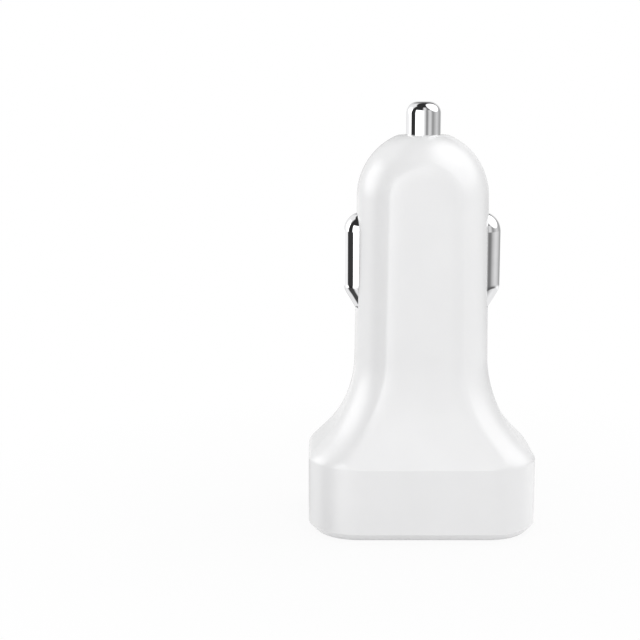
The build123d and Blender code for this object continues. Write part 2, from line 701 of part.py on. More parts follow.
def lathe_y(points, z):
    """Outline of (radius, y) points turned about an axis along Y at a height."""
    face = make_face(Polyline(*points, close=True))
    return Pos(0, 0, z) * revolve(face, Axis.Y)


def inductor_core():
    """Drum core with two flanges, standing on the board's back face."""
    rim = INDUCTOR_DIAMETER / 2
    hub = INDUCTOR_HUB / 2
    near = BOARD_FACE
    far = near + INDUCTOR_HEIGHT
    points = [
        (0, near),
        (rim, near),
        (rim, near + INDUCTOR_FLANGE),
        (hub, near + INDUCTOR_FLANGE),
        (hub, far - INDUCTOR_FLANGE),
        (rim, far - INDUCTOR_FLANGE),
        (rim, far),
        (0, far),
    ]
    return lathe_y(points, INDUCTOR_Z)


def inductor_winding():
    """Wire wound on the drum between its flanges."""
    near = BOARD_FACE + INDUCTOR_FLANGE
    far = BOARD_FACE + INDUCTOR_HEIGHT - INDUCTOR_FLANGE
    hub = INDUCTOR_HUB / 2
    outside = INDUCTOR_DIAMETER / 2 - WINDING_INSET
    return lathe_y([(hub, near), (outside, near), (outside, far), (hub, far)], INDUCTOR_Z)


def converter_chip():
    """Body of the switching converter on the board's front face."""
    near = -BOARD_FACE - CHIP_STANDOFF
    half_x = CHIP_WIDTH / 2
    half_z = CHIP_LENGTH / 2
    body = block(-CHIP_OFFSET - half_x, half_x - CHIP_OFFSET, near - CHIP_HEIGHT, near,
                 INDUCTOR_Z - half_z, INDUCTOR_Z + half_z)
    front = body.edges().group_by(Axis.Y)[0]
    return chamfer(front, CHIP_STANDOFF)


def chip_leads():
    """Eight bent leads of the converter, from its sides down to the board."""
    leads = []
    side = CHIP_WIDTH / 2
    knee = side + CHIP_LEAD_REACH / 2
    toe = side + CHIP_LEAD_REACH
    sheet = CHIP_LEAD_SHEET
    middle = BOARD_FACE + CHIP_STANDOFF + CHIP_HEIGHT / 2
    foot = BOARD_FACE
    outline = [
        (side, -middle),
        (knee, -middle),
        (knee, -foot - sheet),
        (toe, -foot - sheet),
        (toe, -foot),
        (knee - sheet, -foot),
        (knee - sheet, sheet - middle),
        (side, sheet - middle),
    ]
    face = make_face(Polyline(*outline, close=True))
    for k in range(4):
        z = INDUCTOR_Z + (k - 1.5) * CHIP_LEAD_PITCH
        lead = extrude(Pos(0, 0, z - CHIP_LEAD_WIDTH / 2) * face, CHIP_LEAD_WIDTH)
        leads.append(Pos(-CHIP_OFFSET, 0, 0) * lead)
        leads.append(Pos(-CHIP_OFFSET, 0, 0) * mirror(lead, Plane.YZ))
    return Compound(children=leads)


def rectifier_diode():
    """Body of the diode on the front face, beside the converter."""
    half_x = DIODE_WIDTH / 2
    half_z = DIODE_LENGTH / 2
    near = -BOARD_FACE
    return block(CHIP_OFFSET - half_x, CHIP_OFFSET + half_x, near - DIODE_HEIGHT, near,
                 INDUCTOR_Z - half_z, INDUCTOR_Z + half_z)


def diode_tabs():
    """Metal tabs at both ends of the diode."""
    half_x = DIODE_WIDTH / 4
    near = -BOARD_FACE
    top = INDUCTOR_Z + DIODE_LENGTH / 2
    left = CHIP_OFFSET - half_x
    right = CHIP_OFFSET + half_x
    upper = block(left, right, near - DIODE_HEIGHT / 2, near, top, top + DIODE_TAB_SHEET)
    upper += block(left, right, near - DIODE_TAB_SHEET, near, top, top + DIODE_TAB)
    lower = Pos(0, 0, 2 * INDUCTOR_Z) * mirror(upper, Plane.XY)
    return Compound(children=[upper, lower])


def chip_resistors():
    """Row of small resistors on the front face below the converter."""
    top = INDUCTOR_Z - CHIP_LENGTH / 2 - RESISTOR_GAP
    pitch = RESISTOR_LENGTH + RESISTOR_GAP
    row = []
    for k in range(5):
        x = (k - 2) * pitch
        row.append(block(x - RESISTOR_LENGTH / 2, x + RESISTOR_LENGTH / 2,
                         -BOARD_FACE - RESISTOR_HEIGHT, -BOARD_FACE, top - RESISTOR_WIDTH, top))
    return Compound(children=row)


def main():
    """Build every piece and write one file for each."""
    os.makedirs("parts", exist_ok=True)
    wing = ground_wing()
    leaf = ground_spring()
    half_turn = Rot(0, 0, 180)
    pieces = {
        "body_shell": body_shell(),
        "face_plate": face_plate(),
        "led_light_pipe": led_light_pipe(),
        "status_led": status_led(),
        "port_board": port_board(),
        "power_board": power_board(),
        "usb_shell_left": usb_shell(PORT_LEFT_X),
        "usb_shell_right": usb_shell(PORT_RIGHT_X),
        "usb_insulator_left": usb_insulator(PORT_LEFT_X),
        "usb_insulator_right": usb_insulator(PORT_RIGHT_X),
        "usb_contacts_left": usb_contacts(PORT_LEFT_X),
        "usb_contacts_right": usb_contacts(PORT_RIGHT_X),
        "centre_pin": centre_pin(),
        "pin_spring": pin_spring(),
        "spring_cup": spring_cup(),
        "ground_wing_left": half_turn * wing,
        "ground_wing_right": wing,
        "ground_spring_left": half_turn * leaf,
        "ground_spring_right": leaf,
        "input_capacitor": can(-CAPACITOR_Y, INPUT_CAPACITOR_LENGTH),
        "output_capacitor": can(CAPACITOR_Y, OUTPUT_CAPACITOR_LENGTH),
        "capacitor_leads": capacitor_leads(),
        "inductor_core": inductor_core(),
        "inductor_winding": inductor_winding(),
        "converter_chip": converter_chip(),
        "chip_leads": chip_leads(),
        "rectifier_diode": rectifier_diode(),
        "diode_tabs": diode_tabs(),
        "chip_resistors": chip_resistors(),
    }
    for node, piece in pieces.items():
        export_step(piece, f"parts/{node}.step")


main()
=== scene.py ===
"""Looks of a car USB charger plug: skins, finishes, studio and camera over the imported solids.

Lengths in the classes are millimetres, in the frame of the solids: X across the ports, -Y out of the front
panel, Z up the plug from the USB face to the nose contact. Meshes are stored in metres.
"""

import json
import logging
import math
from dataclasses import dataclass, field
from enum import Enum

import bmesh
import bpy
import numpy as np
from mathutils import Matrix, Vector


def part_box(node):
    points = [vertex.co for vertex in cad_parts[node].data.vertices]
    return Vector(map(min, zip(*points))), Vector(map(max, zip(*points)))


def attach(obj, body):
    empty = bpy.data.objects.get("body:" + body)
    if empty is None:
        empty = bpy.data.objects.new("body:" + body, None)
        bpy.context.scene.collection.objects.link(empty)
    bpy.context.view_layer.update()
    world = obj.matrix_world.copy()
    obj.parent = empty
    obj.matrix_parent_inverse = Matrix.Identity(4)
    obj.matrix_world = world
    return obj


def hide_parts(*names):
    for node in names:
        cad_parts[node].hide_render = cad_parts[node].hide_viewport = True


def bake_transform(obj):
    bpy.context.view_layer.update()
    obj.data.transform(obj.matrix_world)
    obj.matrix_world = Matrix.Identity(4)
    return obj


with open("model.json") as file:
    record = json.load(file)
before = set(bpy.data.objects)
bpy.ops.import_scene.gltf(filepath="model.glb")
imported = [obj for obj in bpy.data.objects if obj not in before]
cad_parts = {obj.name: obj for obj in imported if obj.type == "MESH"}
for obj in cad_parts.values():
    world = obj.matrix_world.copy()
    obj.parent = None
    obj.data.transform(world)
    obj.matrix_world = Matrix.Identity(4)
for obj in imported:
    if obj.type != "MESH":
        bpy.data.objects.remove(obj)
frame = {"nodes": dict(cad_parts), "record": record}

LOG = logging.getLogger("charger_plug")
MM = 0.001
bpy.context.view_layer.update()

# Millimetres within which points are one point and an edge has no length
MERGE_MM = 1e-4
EMPTY_MM = 1e-5
# Least divisor for a direction along an axis, and least softness of an edge
TINY = 1e-9
LEAST_SOFT = 1e-3
# Range in which most values of a noise lie
NOISE_LOW = 0.3
NOISE_HIGH = 0.7
WHITE = (1.0, 1.0, 1.0, 1.0)

Array = np.ndarray
Pair = tuple[float, float]
Triple = tuple[float, float, float]
Colour = Triple
Stops = tuple[Pair, ...]
Socket = bpy.types.NodeSocket
Piece = bpy.types.Object


class Body(Enum):
    """Moving groups of the frame."""

    HOUSING = "housing"
    PIN = "pin"
    WING_LEFT = "wing_left"
    WING_RIGHT = "wing_right"


class Side(Enum):
    """Side of the neck that a contact stands on, as the sign of its X."""

    LEFT = -1
    RIGHT = 1

    def word(self) -> str:
        """The side as it stands in names."""
        return self.name.lower()

    def body(self) -> Body:
        """Moving group of the contact on this side."""
        return Body.WING_LEFT if self is Side.LEFT else Body.WING_RIGHT


class Slot(Enum):
    """Material slots of the record."""

    HOUSING = "housing_white"
    LIGHT_PIPE = "light_pipe"
    LAMP = "led_body"
    BOARD = "board_green"
    PORT_SHEET = "port_steel"
    PORT_BLOCK = "port_insulator"
    GOLD = "contact_gold"
    CHROME = "contact_chrome"
    SPRING = "spring_steel"
    BRASS = "cup_brass"
    CAN = "can_aluminium"
    TINNED = "tinned_wire"
    FERRITE = "ferrite"
    COPPER = "copper_wire"
    CHIP = "chip_black"
    RESISTOR = "resistor_black"


def smooth_min(first: Array, second: Array, reach: Array | float) -> Array:
    """Smaller of two arrays, with the corner where they cross rounded.

    The minimum is lowered by reach / 4 * h^2, where h falls from 1 where both are equal to 0 where they are a
    reach apart.

    Args:
        first: One array.
        second: The other, of a shape that fits the first.
        reach: Difference over which the corner is rounded.

    Returns:
        The rounded minimum.
    """
    blend = np.clip(1.0 - np.abs(first - second) / reach, 0.0, 1.0)
    return np.minimum(first, second) - blend * blend * reach / 4.0


def arc_depth(along: Array, run: float, depth: float) -> Array:
    """Distance from a straight line to an arc that leaves it in line.

    The arc's radius is (depth^2 + run^2) / (2 depth), and the distance is the radius less the root of what is
    left of radius^2 when the square of the length along the line is taken from it.

    Args:
        along: Lengths along the line, held between nothing and the radius.
        run: Length at which the arc is a depth away.
        depth: That depth.

    Returns:
        Distances, one for each length.
    """
    radius = (depth**2 + run**2) / (2 * depth)
    return radius - np.sqrt(radius**2 - np.clip(along, 0.0, radius) ** 2)


def spaced(marks: tuple[float, ...], counts: tuple[int, ...]) -> Array:
    """Values that run from mark to mark in even steps, without the last mark.

    Args:
        marks: Values at which the step changes.
        counts: Number of steps from each mark to the next.

    Returns:
        The values in order.
    """
    runs = zip(marks[:-1], marks[1:], counts)
    return np.concatenate([np.linspace(start, end, count, endpoint=False) for start, end, count in runs])


def grid_quads(rows: int, columns: int, wrap_rows: bool = False, wrap_columns: bool = True) -> Array:
    """Corner numbers of the quads of a grid of points kept row by row.

    Args:
        rows: Number of rows.
        columns: Number of points in a row.
        wrap_rows: Whether the last row joins the first.
        wrap_columns: Whether the last column joins the first.

    Returns:
        An array of four point numbers for each quad, facing out where rows rise and columns turn left.
    """
    row, column = np.meshgrid(
        np.arange(rows if wrap_rows else rows - 1),
        np.arange(columns if wrap_columns else columns - 1),
        indexing="ij",
    )
    here = row * columns
    above = (row + 1) % rows * columns
    beside = (column + 1) % columns
    corners = [here + column, here + beside, above + beside, above + column]
    return np.stack(corners, axis=-1).reshape(-1, 4)


def mesh_from_grid(name: str, points: Array, quads: Array) -> bpy.types.Mesh:
    """Mesh of quads over points.

    Args:
        name: Name of the mesh.
        points: Points in millimetres, in any shape that ends in three.
        quads: Point numbers of each quad.

    Returns:
        The mesh, in metres, with doubled points merged and no empty faces.
    """
    mesh = bpy.data.meshes.new(name)
    flat = points.reshape(-1, 3) * MM
    mesh.vertices.add(len(flat))
    mesh.vertices.foreach_set("co", flat.ravel())
    mesh.loops.add(quads.size)
    mesh.loops.foreach_set("vertex_index", quads.ravel().astype(np.int32))
    mesh.polygons.add(len(quads))
    mesh.polygons.foreach_set("loop_start", np.arange(0, quads.size, 4, dtype=np.int32))
    mesh.update(calc_edges=True)
    work = bmesh.new()
    work.from_mesh(mesh)
    bmesh.ops.remove_doubles(work, verts=work.verts, dist=MM * MERGE_MM)
    bmesh.ops.dissolve_degenerate(work, edges=work.edges, dist=MM * EMPTY_MM)
    work.to_mesh(mesh)
    work.free()
    return mesh


def shade(mesh: bpy.types.Mesh, sharp_degrees: float) -> None:
    """Smooth shading that breaks at edges bent by more than an angle."""
    mesh.polygons.foreach_set("use_smooth", np.ones(len(mesh.polygons), dtype=bool))
    mesh.set_sharp_from_angle(angle=math.radians(sharp_degrees))


def place(mesh: bpy.types.Mesh) -> Piece:
    """Puts a mesh into the scene, at the origin.

    Args:
        mesh: The mesh.

    Returns:
        Its object, of the same name.
    """
    piece = bpy.data.objects.new(mesh.name, mesh)
    bpy.context.scene.collection.objects.link(piece)
    return piece


def thicken(piece: Piece, sheet: float, offset: float) -> None:
    """Gives a surface the thickness of a sheet, by a modifier.

    Args:
        piece: The surface.
        sheet: Thickness in millimetres.
        offset: -1 where the surface is the sheet's outer face, 0 where it is its middle.
    """
    wall = piece.modifiers.new("sheet", "SOLIDIFY")
    wall.thickness = sheet * MM
    wall.offset = offset


def bake_modifiers(piece: Piece) -> None:
    """Puts the result of a piece's modifiers into its mesh and takes the modifiers away.

    Args:
        piece: The piece.
    """
    bpy.context.view_layer.update()
    graph = bpy.context.evaluated_depsgraph_get()
    mesh = bpy.data.meshes.new_from_object(piece.evaluated_get(graph))
    piece.modifiers.clear()
    old = piece.data
    piece.data = mesh
    mesh.name = piece.name
    bpy.data.meshes.remove(old)


def shifted(colour: Colour, factor: float) -> Colour:
    """Colour times a factor, kept under 1."""
    return tuple(min(1.0, channel * factor) for channel in colour)


class Wiring:
    """Nodes and links of a material or sky, made in short steps."""

    def __init__(self, owner: bpy.types.Material | bpy.types.World) -> None:
        """Empties the node tree.

        Args:
            owner: Material or world of the tree.
        """
        owner.use_nodes = True
        self.tree = owner.node_tree
        self.tree.nodes.clear()

    def add(self, kind: str, *links: Socket | tuple | float, **settings: object) -> bpy.types.Node:
        """New node whose first inputs take sockets or values, in order.

        Args:
            kind: Type of the node.
            links: Sockets to join and values to set.
            settings: Properties of the node.

        Returns:
            The node.
        """
        node = self.tree.nodes.new(kind)
        for key, value in settings.items():
            setattr(node, key, value)
        for plug, source in zip([plug for plug in node.inputs if plug.enabled], links):
            if isinstance(source, Socket):
                self.link(source, plug)
            else:
                plug.default_value = source
        return node

    def link(self, start: Socket, end: Socket) -> None:
        """Joins two sockets."""
        self.tree.links.new(start, end)

    def reckon(self, operation: str, *terms: Socket | float) -> Socket:
        """Result of one arithmetic step."""
        return self.add("ShaderNodeMath", *terms, operation=operation).outputs[0]

    def mix(self, share: Socket, first: Socket | float, second: Socket | float) -> Socket:
        """Number between two, the first where the share is 0 and the second where it is 1."""
        return self.add("ShaderNodeMix", share, first, second).outputs["Result"]

    def rise(self, value: Socket, start: float, end: float) -> Socket:
        """Smooth step from 0 at the start to 1 at the end."""
        settings = {"interpolation_type": "SMOOTHSTEP"}
        return self.add("ShaderNodeMapRange", value, start, end, 0.0, 1.0, **settings).outputs[0]

    def ramp(self, turn: Socket, stops: Stops) -> Socket:
        """Brightness by angle.

        Args:
            turn: Angle in radians, from minus pi to pi.
            stops: Pairs of degrees and brightness, in rising order.

        Returns:
            The brightness at that angle.
        """
        share = self.add("ShaderNodeMapRange", turn, -math.pi, math.pi).outputs[0]
        node = self.add("ShaderNodeValToRGB", share)
        elements = node.color_ramp.elements
        while len(elements) < len(stops):
            elements.new(0.5)
        for element, (degrees, bright) in zip(elements, stops):
            element.position = degrees / 360 + 0.5
            element.color = (bright, bright, bright, 1.0)
        return node.outputs["Color"]


class Nodes(Wiring):
    """A material's nodes around one principled shader."""

    def __init__(self, name: str) -> None:
        """Material with a principled shader and object coordinates.

        Args:
            name: Name of the material.
        """
        self.material = bpy.data.materials.new(name)
        super().__init__(self.material)
        self.shader = self.add("ShaderNodeBsdfPrincipled")
        self.add("ShaderNodeOutputMaterial", self.shader.outputs["BSDF"])
        self.place = self.add("ShaderNodeTexCoord").outputs["Object"]

    def noise(self, grain_mm: float, detail: float, stretch: Triple = (1.0, 1.0, 1.0)) -> Socket:
        """Noise with a grain size in millimetres.

        Args:
            grain_mm: Size of the grain.
            detail: Number of finer layers.
            stretch: Scale of the coordinates on each axis before the noise.

        Returns:
            The noise's value, about a half.
        """
        mapping = self.add("ShaderNodeMapping")
        mapping.inputs["Scale"].default_value = stretch
        self.link(self.place, mapping.inputs["Vector"])
        texture = self.add("ShaderNodeTexNoise")
        texture.inputs["Scale"].default_value = 1.0 / (grain_mm * MM)
        texture.inputs["Detail"].default_value = detail
        self.link(mapping.outputs["Vector"], texture.inputs["Vector"])
        return texture.outputs["Fac"]

    def span(self, value: Socket, low: float, high: float) -> Socket:
        """Spreads a noise's usual range over another.

        Args:
            value: Value of a noise.
            low: Start of the other range.
            high: Its end.

        Returns:
            The value in the other range.
        """
        node = self.add("ShaderNodeMapRange")
        node.inputs["From Min"].default_value = NOISE_LOW
        node.inputs["From Max"].default_value = NOISE_HIGH
        node.inputs["To Min"].default_value = low
        node.inputs["To Max"].default_value = high
        self.link(value, node.inputs["Value"])
        return node.outputs["Result"]

    def tint(self, value: Socket, colour: Colour, low: float, high: float) -> Socket:
        """Colour that goes from darker to lighter with a noise.

        Args:
            value: Value of the noise.
            colour: Colour to vary.
            low: Factor of the dark end.
            high: Factor of the light end.

        Returns:
            The varied colour.
        """
        node = self.add("ShaderNodeMix", data_type="RGBA")
        node.inputs["A"].default_value = (*shifted(colour, low), 1.0)
        node.inputs["B"].default_value = (*shifted(colour, high), 1.0)
        self.link(self.span(value, 0.0, 1.0), node.inputs["Factor"])
        return node.outputs["Result"]

    def colour(self, socket: Socket) -> None:
        """Joins a colour to the shader."""
        self.link(socket, self.shader.inputs["Base Color"])

    def roughness(self, value: Socket, low: float, high: float) -> None:
        """Joins a roughness to the shader that goes from low to high with a noise."""
        self.link(self.span(value, low, high), self.shader.inputs["Roughness"])

    def relief(self, height: Socket, depth_mm: float, strength: float) -> None:
        """Bump on the shader.

        Args:
            height: Height of the bump, from 0 to 1.
            depth_mm: Depth in millimetres.
            strength: Share of the bump that shows.
        """
        node = self.add("ShaderNodeBump")
        node.inputs["Strength"].default_value = strength
        node.inputs["Distance"].default_value = depth_mm * MM
        self.link(height, node.inputs["Height"])
        self.link(node.outputs["Normal"], self.shader.inputs["Normal"])

    def fix(self, **values: float) -> None:
        """Sets constants on the shader's own sockets; an underscore stands for a space."""
        for key, value in values.items():
            self.shader.inputs[key.replace("_", " ")].default_value = value


@dataclass(frozen=True)
class Finish:
    """Name and colour of a finish, to which each kind adds its own nodes."""

    name: str
    colour: Colour

    def wire(self, nodes: Nodes) -> None:
        """Nodes of the kind."""
        raise NotImplementedError

    def material(self) -> bpy.types.Material:
        """Makes the material.

        Returns:
            The material with the nodes of its kind.
        """
        nodes = Nodes(self.name)
        self.wire(nodes)
        return nodes.material


@dataclass(frozen=True)
class GlossPlastic(Finish):
    """Polished moulding: even colour with a faint drift, glossy skin with a fine ripple from the mould."""

    roughness: float = 0.16
    drift: float = 0.012
    coat: float = 0.0
    coat_roughness: float = 0.26
    cloud_mm: float = 9.0
    haze_mm: float = 2.5
    ripple_mm: float = 6.0
    ripple_depth_mm: float = 0.01

    def wire(self, nodes: Nodes) -> None:
        """Colour drift, gloss drift, mould ripple and coat.

        Args:
            nodes: Nodes of the material.
        """
        cloud = nodes.noise(self.cloud_mm, detail=2.0)
        nodes.colour(nodes.tint(cloud, self.colour, 1.0 - self.drift, 1.0 + self.drift))
        haze = nodes.noise(self.haze_mm, detail=3.0)
        nodes.roughness(haze, low=self.roughness * 0.85, high=self.roughness * 1.2)
        nodes.relief(nodes.noise(self.ripple_mm, detail=0.0), self.ripple_depth_mm, strength=0.2)
        nodes.fix(Coat_Weight=self.coat, Coat_Roughness=self.coat_roughness)


@dataclass(frozen=True)
class MattMoulding(Finish):
    """Plain moulded or fired body with a fine grain."""

    roughness: float = 0.5
    grain_mm: float = 0.12
    grain_depth_mm: float = 0.01
    haze_mm: float = 0.8

    def wire(self, nodes: Nodes) -> None:
        """Speckled colour, uneven gloss and a fine grain in relief.

        Args:
            nodes: Nodes of the material.
        """
        grain = nodes.noise(self.grain_mm, detail=4.0)
        nodes.colour(nodes.tint(grain, self.colour, low=0.86, high=1.14))
        haze = nodes.noise(self.haze_mm, detail=3.0)
        nodes.roughness(haze, low=self.roughness * 0.85, high=self.roughness * 1.15)
        nodes.relief(grain, self.grain_depth_mm, strength=0.35)


@dataclass(frozen=True)
class Metal(Finish):
    """Plated or drawn metal with polishing lines along one axis."""

    roughness: float
    lines: Triple = (1.0, 1.0, 0.08)
    line_depth_mm: float = 0.0004
    line_mm: float = 0.06
    cloud: float = 0.03
    cloud_mm: float = 1.8

    def wire(self, nodes: Nodes) -> None:
        """Clouded colour, uneven gloss and fine lines.

        Args:
            nodes: Nodes of the material.
        """
        cloud = nodes.noise(self.cloud_mm, detail=3.0)
        nodes.colour(nodes.tint(cloud, self.colour, 1.0 - self.cloud, 1.0 + self.cloud))
        scratches = nodes.noise(self.line_mm, 2.0, self.lines)
        nodes.roughness(scratches, low=self.roughness * 0.7, high=self.roughness * 1.3)
        nodes.relief(scratches, self.line_depth_mm, strength=0.2)
        nodes.fix(Metallic=1.0)


@dataclass(frozen=True)
class Laminate(Finish):
    """Lacquered circuit board: glass weave under the lacquer and lighter routed tracks."""

    weave_mm: float = 0.7
    weave_drift: float = 0.6
    weave_depth_mm: float = 0.01
    track_mm: float = 1.7
    track_share: float = 0.5
    haze_mm: float = 1.2

    def wire(self, nodes: Nodes) -> None:
        """Woven ground, blotched tracks and lacquer.

        Args:
            nodes: Nodes of the material.
        """
        wave = nodes.add("ShaderNodeTexWave", nodes.place, wave_type="BANDS", bands_direction="DIAGONAL")
        wave.inputs["Scale"].default_value = 1.0 / (self.weave_mm * MM)
        wave.inputs["Distortion"].default_value = self.weave_drift
        weave = wave.outputs["Fac"]
        tracks = nodes.add("ShaderNodeTexVoronoi", distance="MANHATTAN", feature="DISTANCE_TO_EDGE")
        tracks.inputs["Scale"].default_value = 1.0 / (self.track_mm * MM)
        nodes.link(nodes.place, tracks.inputs["Vector"])
        mix = nodes.add("ShaderNodeMix", data_type="RGBA", blend_type="MULTIPLY")
        mix.inputs["Factor"].default_value = self.track_share
        nodes.link(nodes.tint(weave, self.colour, low=0.85, high=1.2), mix.inputs["A"])
        nodes.link(nodes.span(tracks.outputs["Distance"], low=1.0, high=0.6), mix.inputs["B"])
        nodes.colour(mix.outputs["Result"])
        nodes.roughness(nodes.noise(self.haze_mm, detail=3.0), low=0.22, high=0.4)
        nodes.relief(weave, self.weave_depth_mm, strength=0.3)


@dataclass(frozen=True)
class WoundWire(Finish):
    """Lacquered wire wound in close turns along the board's depth, with painted shade and painted highlights
    on the turns.
    """

    wire_mm: float = 0.45
    relief_mm: float = 0.12
    haze_mm: float = 0.5
    # Length of a band of a wave texture whose scale is 1
    band: float = 0.31

    def wire(self, nodes: Nodes) -> None:
        """Turns in relief, and in colour as painted shade in the grooves and a painted highlight on the
        crowns.

        Args:
            nodes: Nodes of the material.
        """
        wave = nodes.add("ShaderNodeTexWave", nodes.place, wave_type="BANDS", bands_direction="Y")
        wave.inputs["Scale"].default_value = self.band / (self.wire_mm * MM)
        turns = wave.outputs["Fac"]
        # Painted shade in the grooves between turns and a painted highlight on their crowns
        nodes.colour(nodes.tint(turns, self.colour, low=0.45, high=1.1))
        nodes.roughness(nodes.noise(self.haze_mm, detail=3.0), low=0.25, high=0.4)
        nodes.relief(turns, self.relief_mm, strength=0.6)
        nodes.fix(Metallic=1.0)


class Finishes:
    """One material for each slot of the record."""

    def __init__(self) -> None:
        """Makes every finish once."""
        table = {
            Slot.HOUSING: GlossPlastic("polished_white", (0.83, 0.83, 0.835), 0.345, coat=1.0),
            Slot.LIGHT_PIPE: GlossPlastic("milky_rod", (0.92, 0.92, 0.92), 0.1),
            Slot.LAMP: GlossPlastic("lamp_resin", (0.90, 0.86, 0.62), 0.2),
            Slot.BOARD: Laminate("green_laminate", (0.03, 0.20, 0.08)),
            Slot.PORT_SHEET: Metal("plated_sheet", (0.62, 0.62, 0.64), 0.24, (1.0, 0.06, 1.0), 0.002),
            Slot.PORT_BLOCK: MattMoulding("port_moulding", (0.80, 0.80, 0.79), 0.42),
            Slot.GOLD: Metal("gold_plating", (0.86, 0.62, 0.26), 0.2),
            Slot.CHROME: Metal("bright_chrome", (0.88, 0.88, 0.89), 0.03),
            Slot.SPRING: Metal("drawn_spring", (0.55, 0.55, 0.57), 0.3),
            Slot.BRASS: Metal("turned_brass", (0.78, 0.60, 0.28), 0.26, (1.0, 1.0, 0.2), 0.002),
            Slot.CAN: Metal("drawn_can", (0.70, 0.71, 0.73), 0.3, (1.0, 1.0, 0.05), 0.002),
            Slot.TINNED: Metal("tinned_lead", (0.75, 0.75, 0.75), 0.34),
            Slot.FERRITE: MattMoulding("fired_core", (0.07, 0.07, 0.08), 0.55),
            Slot.COPPER: WoundWire("wound_copper", (0.72, 0.34, 0.14)),
            Slot.CHIP: MattMoulding("chip_resin", (0.03, 0.03, 0.034), 0.48),
            Slot.RESISTOR: MattMoulding("glazed_resistor", (0.045, 0.045, 0.05), 0.3, 0.3),
        }
        self.materials = {slot: finish.material() for slot, finish in table.items()}

    def dress(self, piece: Piece, slot: Slot) -> None:
        """Gives a piece the only material that it has."""
        piece.data.materials.clear()
        piece.data.materials.append(self.materials[slot])


@dataclass
class WingOutline:
    """Side view of a sprung side contact: straight sides that close to a bullet point."""

    radius: float = 2.7
    tip: float = 3.0
    point: float = 0.8
    base_z: float = 35.2
    top_z: float = 50.2
    foot_play: float = 0.03
    long_points: int = 20
    short_points: int = 14

    def profile(self, play: float, straight_points: int) -> tuple[Array, Array]:
        """Half width against height, from the base to the point.

        The width is constant up to the shoulder, then follows a long arc that meets the straight side in
        line, and a short arc about the middle line that meets the long one in line.

        Args:
            play: Room added all round, but no more than the foot's own below the base.
            straight_points: Points on the straight side.

        Returns:
            Arrays of half widths and heights.
        """
        radius = self.radius + play
        tip = self.tip + play
        shoulder = self.top_z - self.tip
        small = self.point * radius
        rise = tip - small
        big = (radius**2 + rise**2 - small**2) / (2 * (radius - small))
        turn = math.atan2(rise, big - radius)
        sweep = np.linspace(0, turn, self.long_points + 1)[1:]
        close = np.linspace(turn, math.pi / 2, self.short_points + 1)[1:]
        base = self.base_z - min(play, self.foot_play)
        straight = np.linspace(base, shoulder, straight_points)
        width = [np.full_like(straight, radius), radius - big + big * np.cos(sweep), small * np.cos(close)]
        height = [straight, shoulder + big * np.sin(sweep), shoulder + rise + small * np.sin(close)]
        return np.maximum(np.concatenate(width), 0.0), np.concatenate(height)


